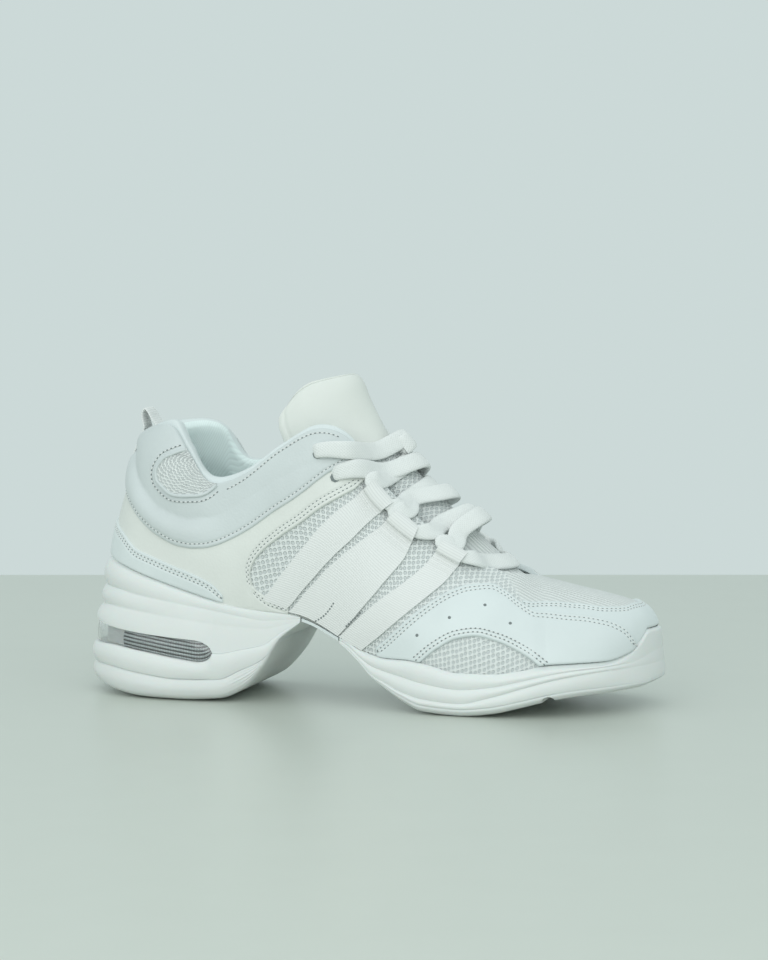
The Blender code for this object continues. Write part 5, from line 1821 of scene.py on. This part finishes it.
class SneakerColors(bpy.types.PropertyGroup):
    """Colours of the sneaker and its stage."""
    cool_leather: color_setting("Cool leather", (0.76, 0.815, 0.82), "Collar, counter and toe panels")
    cream_leather: color_setting("Cream leather", (0.8, 0.82, 0.785), "Quarters and tongue")
    mesh: color_setting("Mesh", (0.8, 0.83, 0.82), "Yarn of the mesh and knit")
    # Painted shade at the bottom of the open mesh cells.
    mesh_shade: color_setting("Mesh shade", (0.62, 0.66, 0.66), "Bottom of the open mesh cells")
    webbing: color_setting("Webbing", (0.85, 0.86, 0.85), "Straps and pull loop")
    lace: color_setting("Lace", (0.84, 0.86, 0.85), "Flat lace")
    sole: color_setting("Sole", (0.81, 0.83, 0.82), "Moulded sole units")
    # Painted light: brighter than the cloth, for the light that comes through into the lining, insole and
    # tongue back.
    lining: color_setting("Lining", (0.85, 0.95, 0.94), "Lining textile and insole")
    window: color_setting("Window", (0.6, 0.64, 0.65), "Lined core of the heel window")
    # Painted shade: the dark colour of the discs that stand in for the shade inside holes and slits.
    needle_hole_shade: color_setting("Needle hole shade", (0.22, 0.25, 0.25), "Needle holes and perforations")
    floor: color_setting("Floor", (0.6, 0.635, 0.58), "Floor of the stage")
    backdrop: color_setting("Backdrop", (0.604, 0.695, 0.686), "Plain backdrop behind the floor")


class SneakerSizes(bpy.types.PropertyGroup):
    """Sizes of the sneaker's surface detail."""
    mesh_pitch: length_setting("Mesh pitch", 2.6, "Distance between the open cells of the mesh")
    rib_pitch: length_setting("Rib pitch", 1.7, "Distance between the ribs of the knit")
    lace_width: length_setting("Lace width", 8.4, "Width of the flat lace")
    lace_thickness: length_setting("Lace thickness", 2.4, "Thickness of the flat lace")
    stitch_pitch: length_setting("Stitch pitch", 2.0, "Distance between needle holes")
    thread_width: length_setting("Thread width", 0.55, "Width of the sewing thread")


# Stage, in metres: the camera looks from the lateral side, and the floor ends behind the shoe.
AZIMUTH = math.radians(16)
ELEVATION = math.radians(6.5)
DISTANCE = 1.4
LENS = 120
SENSOR = 36
AIM = MM * (np.array([2.8, 0, 57.5]) - ORIGIN)
TURN = math.atan(4 / 3200)
TILT = math.atan(86 / 3200)
FLOOR_BEHIND = 0.46
FLOOR_SIZE = 8.0
Light = namedtuple("Light", "name place aim size power")
LIGHTS = [
    Light("key", (0.9, -1.2, 1.4), (0, 0, 0.05), 1.4, 3.8),
    Light("top", (-0.2, -0.2, 1.6), (0, 0, 0), 1.6, 2.0),
    Light("fill", (-1.0, -1.3, 0.7), (0, 0, 0.05), 1.2, 2.0),
    Light("front", (0.1, -1.6, 0.8), (0, 0, 0.02), 1.2, 7.0),
]


def make_floor():
    behind = np.array([-math.sin(AZIMUTH), math.cos(AZIMUTH), 0])
    middle = behind * (FLOOR_BEHIND - 0.5 * FLOOR_SIZE)
    bpy.ops.mesh.primitive_plane_add(size=FLOOR_SIZE, location=middle, rotation=(0, 0, AZIMUTH))
    floor = bpy.context.object
    floor.name = "floor"
    floor.data.materials.append(finish_named("floor"))
    return floor


def make_light(light):
    bpy.ops.object.light_add(type="AREA", location=light.place)
    lamp = bpy.context.object
    lamp.name = light.name
    lamp.data.size = light.size
    lamp.data.energy = light.power
    along = unit(np.subtract(light.aim, light.place))
    lamp.rotation_euler = (math.acos(-along[2]), 0, math.atan2(along[1], along[0]) - math.pi / 2)
    return lamp


def make_camera():
    level = math.cos(ELEVATION)
    back = np.array([math.sin(AZIMUTH) * level, -math.cos(AZIMUTH) * level, math.sin(ELEVATION)])
    bpy.ops.object.camera_add(location=AIM + DISTANCE * back)
    camera = bpy.context.object
    camera.data.lens = LENS
    camera.data.sensor_width = SENSOR
    camera.data.clip_end = 20
    camera.rotation_euler = (math.radians(90) - ELEVATION + TILT, 0, AZIMUTH - TURN)
    bpy.context.scene.camera = camera
    return camera


def make_stage():
    """Pale floor and backdrop, soft lights and the camera at the photo's angle."""
    bpy.ops.object.select_all(action="DESELECT")
    scene = bpy.context.scene
    world = bpy.data.worlds.new("studio")
    world.use_nodes = True
    world.node_tree.nodes["Background"].inputs[0].default_value = (*scene.sneaker_colors.backdrop, 1)
    scene.world = world
    scene.view_settings.view_transform = "Standard"
    make_floor()
    [make_light(light) for light in LIGHTS]
    make_camera()


class SNEAKER_OT_upper(bpy.types.Operator):
    """Make the shell of mesh and knit with its lining"""
    bl_idname = "sneaker.upper"
    bl_label = "Upper"

    def execute(self, context):
        make_upper()
        return {"FINISHED"}


class SNEAKER_OT_sole_units(bpy.types.Operator):
    """Make the heel and forefoot units with their treads"""
    bl_idname = "sneaker.sole_units"
    bl_label = "Sole units"

    def execute(self, context):
        make_sole_units()
        return {"FINISHED"}


class SNEAKER_OT_window(bpy.types.Operator):
    """Make the lined cores and the clear shell of the heel window"""
    bl_idname = "sneaker.window"
    bl_label = "Heel window"

    def execute(self, context):
        make_window()
        return {"FINISHED"}


class SNEAKER_OT_inside(bpy.types.Operator):
    """Make the insole and the cover of the waist"""
    bl_idname = "sneaker.inside"
    bl_label = "Insole and waist"

    def execute(self, context):
        make_inside()
        return {"FINISHED"}


class SNEAKER_OT_panels(bpy.types.Operator):
    """Make the sewn leather panels"""
    bl_idname = "sneaker.panels"
    bl_label = "Panels"

    def execute(self, context):
        make_panels()
        return {"FINISHED"}


class SNEAKER_OT_tongue(bpy.types.Operator):
    """Make the padded tongue"""
    bl_idname = "sneaker.tongue"
    bl_label = "Tongue"

    def execute(self, context):
        make_tongue()
        return {"FINISHED"}


class SNEAKER_OT_straps(bpy.types.Operator):
    """Make the webbing straps with their lace loops"""
    bl_idname = "sneaker.straps"
    bl_label = "Straps"

    def execute(self, context):
        make_straps()
        return {"FINISHED"}


class SNEAKER_OT_pull_loop(bpy.types.Operator):
    """Make the tape at the heel with its finger loop"""
    bl_idname = "sneaker.pull_loop"
    bl_label = "Pull loop"

    def execute(self, context):
        make_pull_loop()
        return {"FINISHED"}


class SNEAKER_OT_lace(bpy.types.Operator):
    """Lace the shoe through its eyelets and loops"""
    bl_idname = "sneaker.lace"
    bl_label = "Lace"

    def execute(self, context):
        make_lace()
        return {"FINISHED"}


class SNEAKER_OT_inserts(bpy.types.Operator):
    """Make the mesh inserts of the ankle with their rolled edges"""
    bl_idname = "sneaker.inserts"
    bl_label = "Ankle inserts"

    def execute(self, context):
        make_inserts()
        return {"FINISHED"}


class SNEAKER_OT_stitches(bpy.types.Operator):
    """Sew the panels, and make dark discs of painted shade at the stitch holes, perforations and eyelets"""
    bl_idname = "sneaker.stitches"
    bl_label = "Stitches"

    def execute(self, context):
        make_stitches()
        return {"FINISHED"}


class SNEAKER_OT_stage(bpy.types.Operator):
    """Set the floor, the lights and the camera"""
    bl_idname = "sneaker.stage"
    bl_label = "Stage"

    def execute(self, context):
        make_stage()
        return {"FINISHED"}


OPERATORS = [
    SNEAKER_OT_upper, SNEAKER_OT_sole_units, SNEAKER_OT_window, SNEAKER_OT_inside, SNEAKER_OT_panels,
    SNEAKER_OT_tongue, SNEAKER_OT_straps, SNEAKER_OT_pull_loop, SNEAKER_OT_lace, SNEAKER_OT_inserts,
    SNEAKER_OT_stitches, SNEAKER_OT_stage,
]


class SNEAKER_PT_panel(bpy.types.Panel):
    """Sidebar list of the sneaker's settings and builders."""
    bl_idname = "SNEAKER_PT_panel"
    bl_label = "Sneaker"
    bl_space_type = "VIEW_3D"
    bl_region_type = "UI"
    bl_category = "Sneaker"

    def draw(self, context):
        for group in (context.scene.sneaker_colors, context.scene.sneaker_sizes):
            for name in group.__annotations__:
                self.layout.prop(group, name)
        for operator in OPERATORS:
            self.layout.operator(operator.bl_idname)


CLASSES = [SneakerColors, SneakerSizes, *OPERATORS, SNEAKER_PT_panel]


def register():
    for item in CLASSES:
        bpy.utils.register_class(item)
    bpy.types.Scene.sneaker_colors = bpy.props.PointerProperty(type=SneakerColors)
    bpy.types.Scene.sneaker_sizes = bpy.props.PointerProperty(type=SneakerSizes)


def unregister():
    del bpy.types.Scene.sneaker_sizes
    del bpy.types.Scene.sneaker_colors
    for item in reversed(CLASSES):
        bpy.utils.unregister_class(item)


def main():
    register()
    bpy.ops.sneaker.upper()
    bpy.ops.sneaker.sole_units()
    bpy.ops.sneaker.window()
    bpy.ops.sneaker.inside()
    bpy.ops.sneaker.panels()
    bpy.ops.sneaker.tongue()
    bpy.ops.sneaker.straps()
    bpy.ops.sneaker.pull_loop()
    bpy.ops.sneaker.lace()
    bpy.ops.sneaker.inserts()
    bpy.ops.sneaker.stitches()
    bpy.ops.sneaker.stage()


if __name__ == "__main__":
    main()
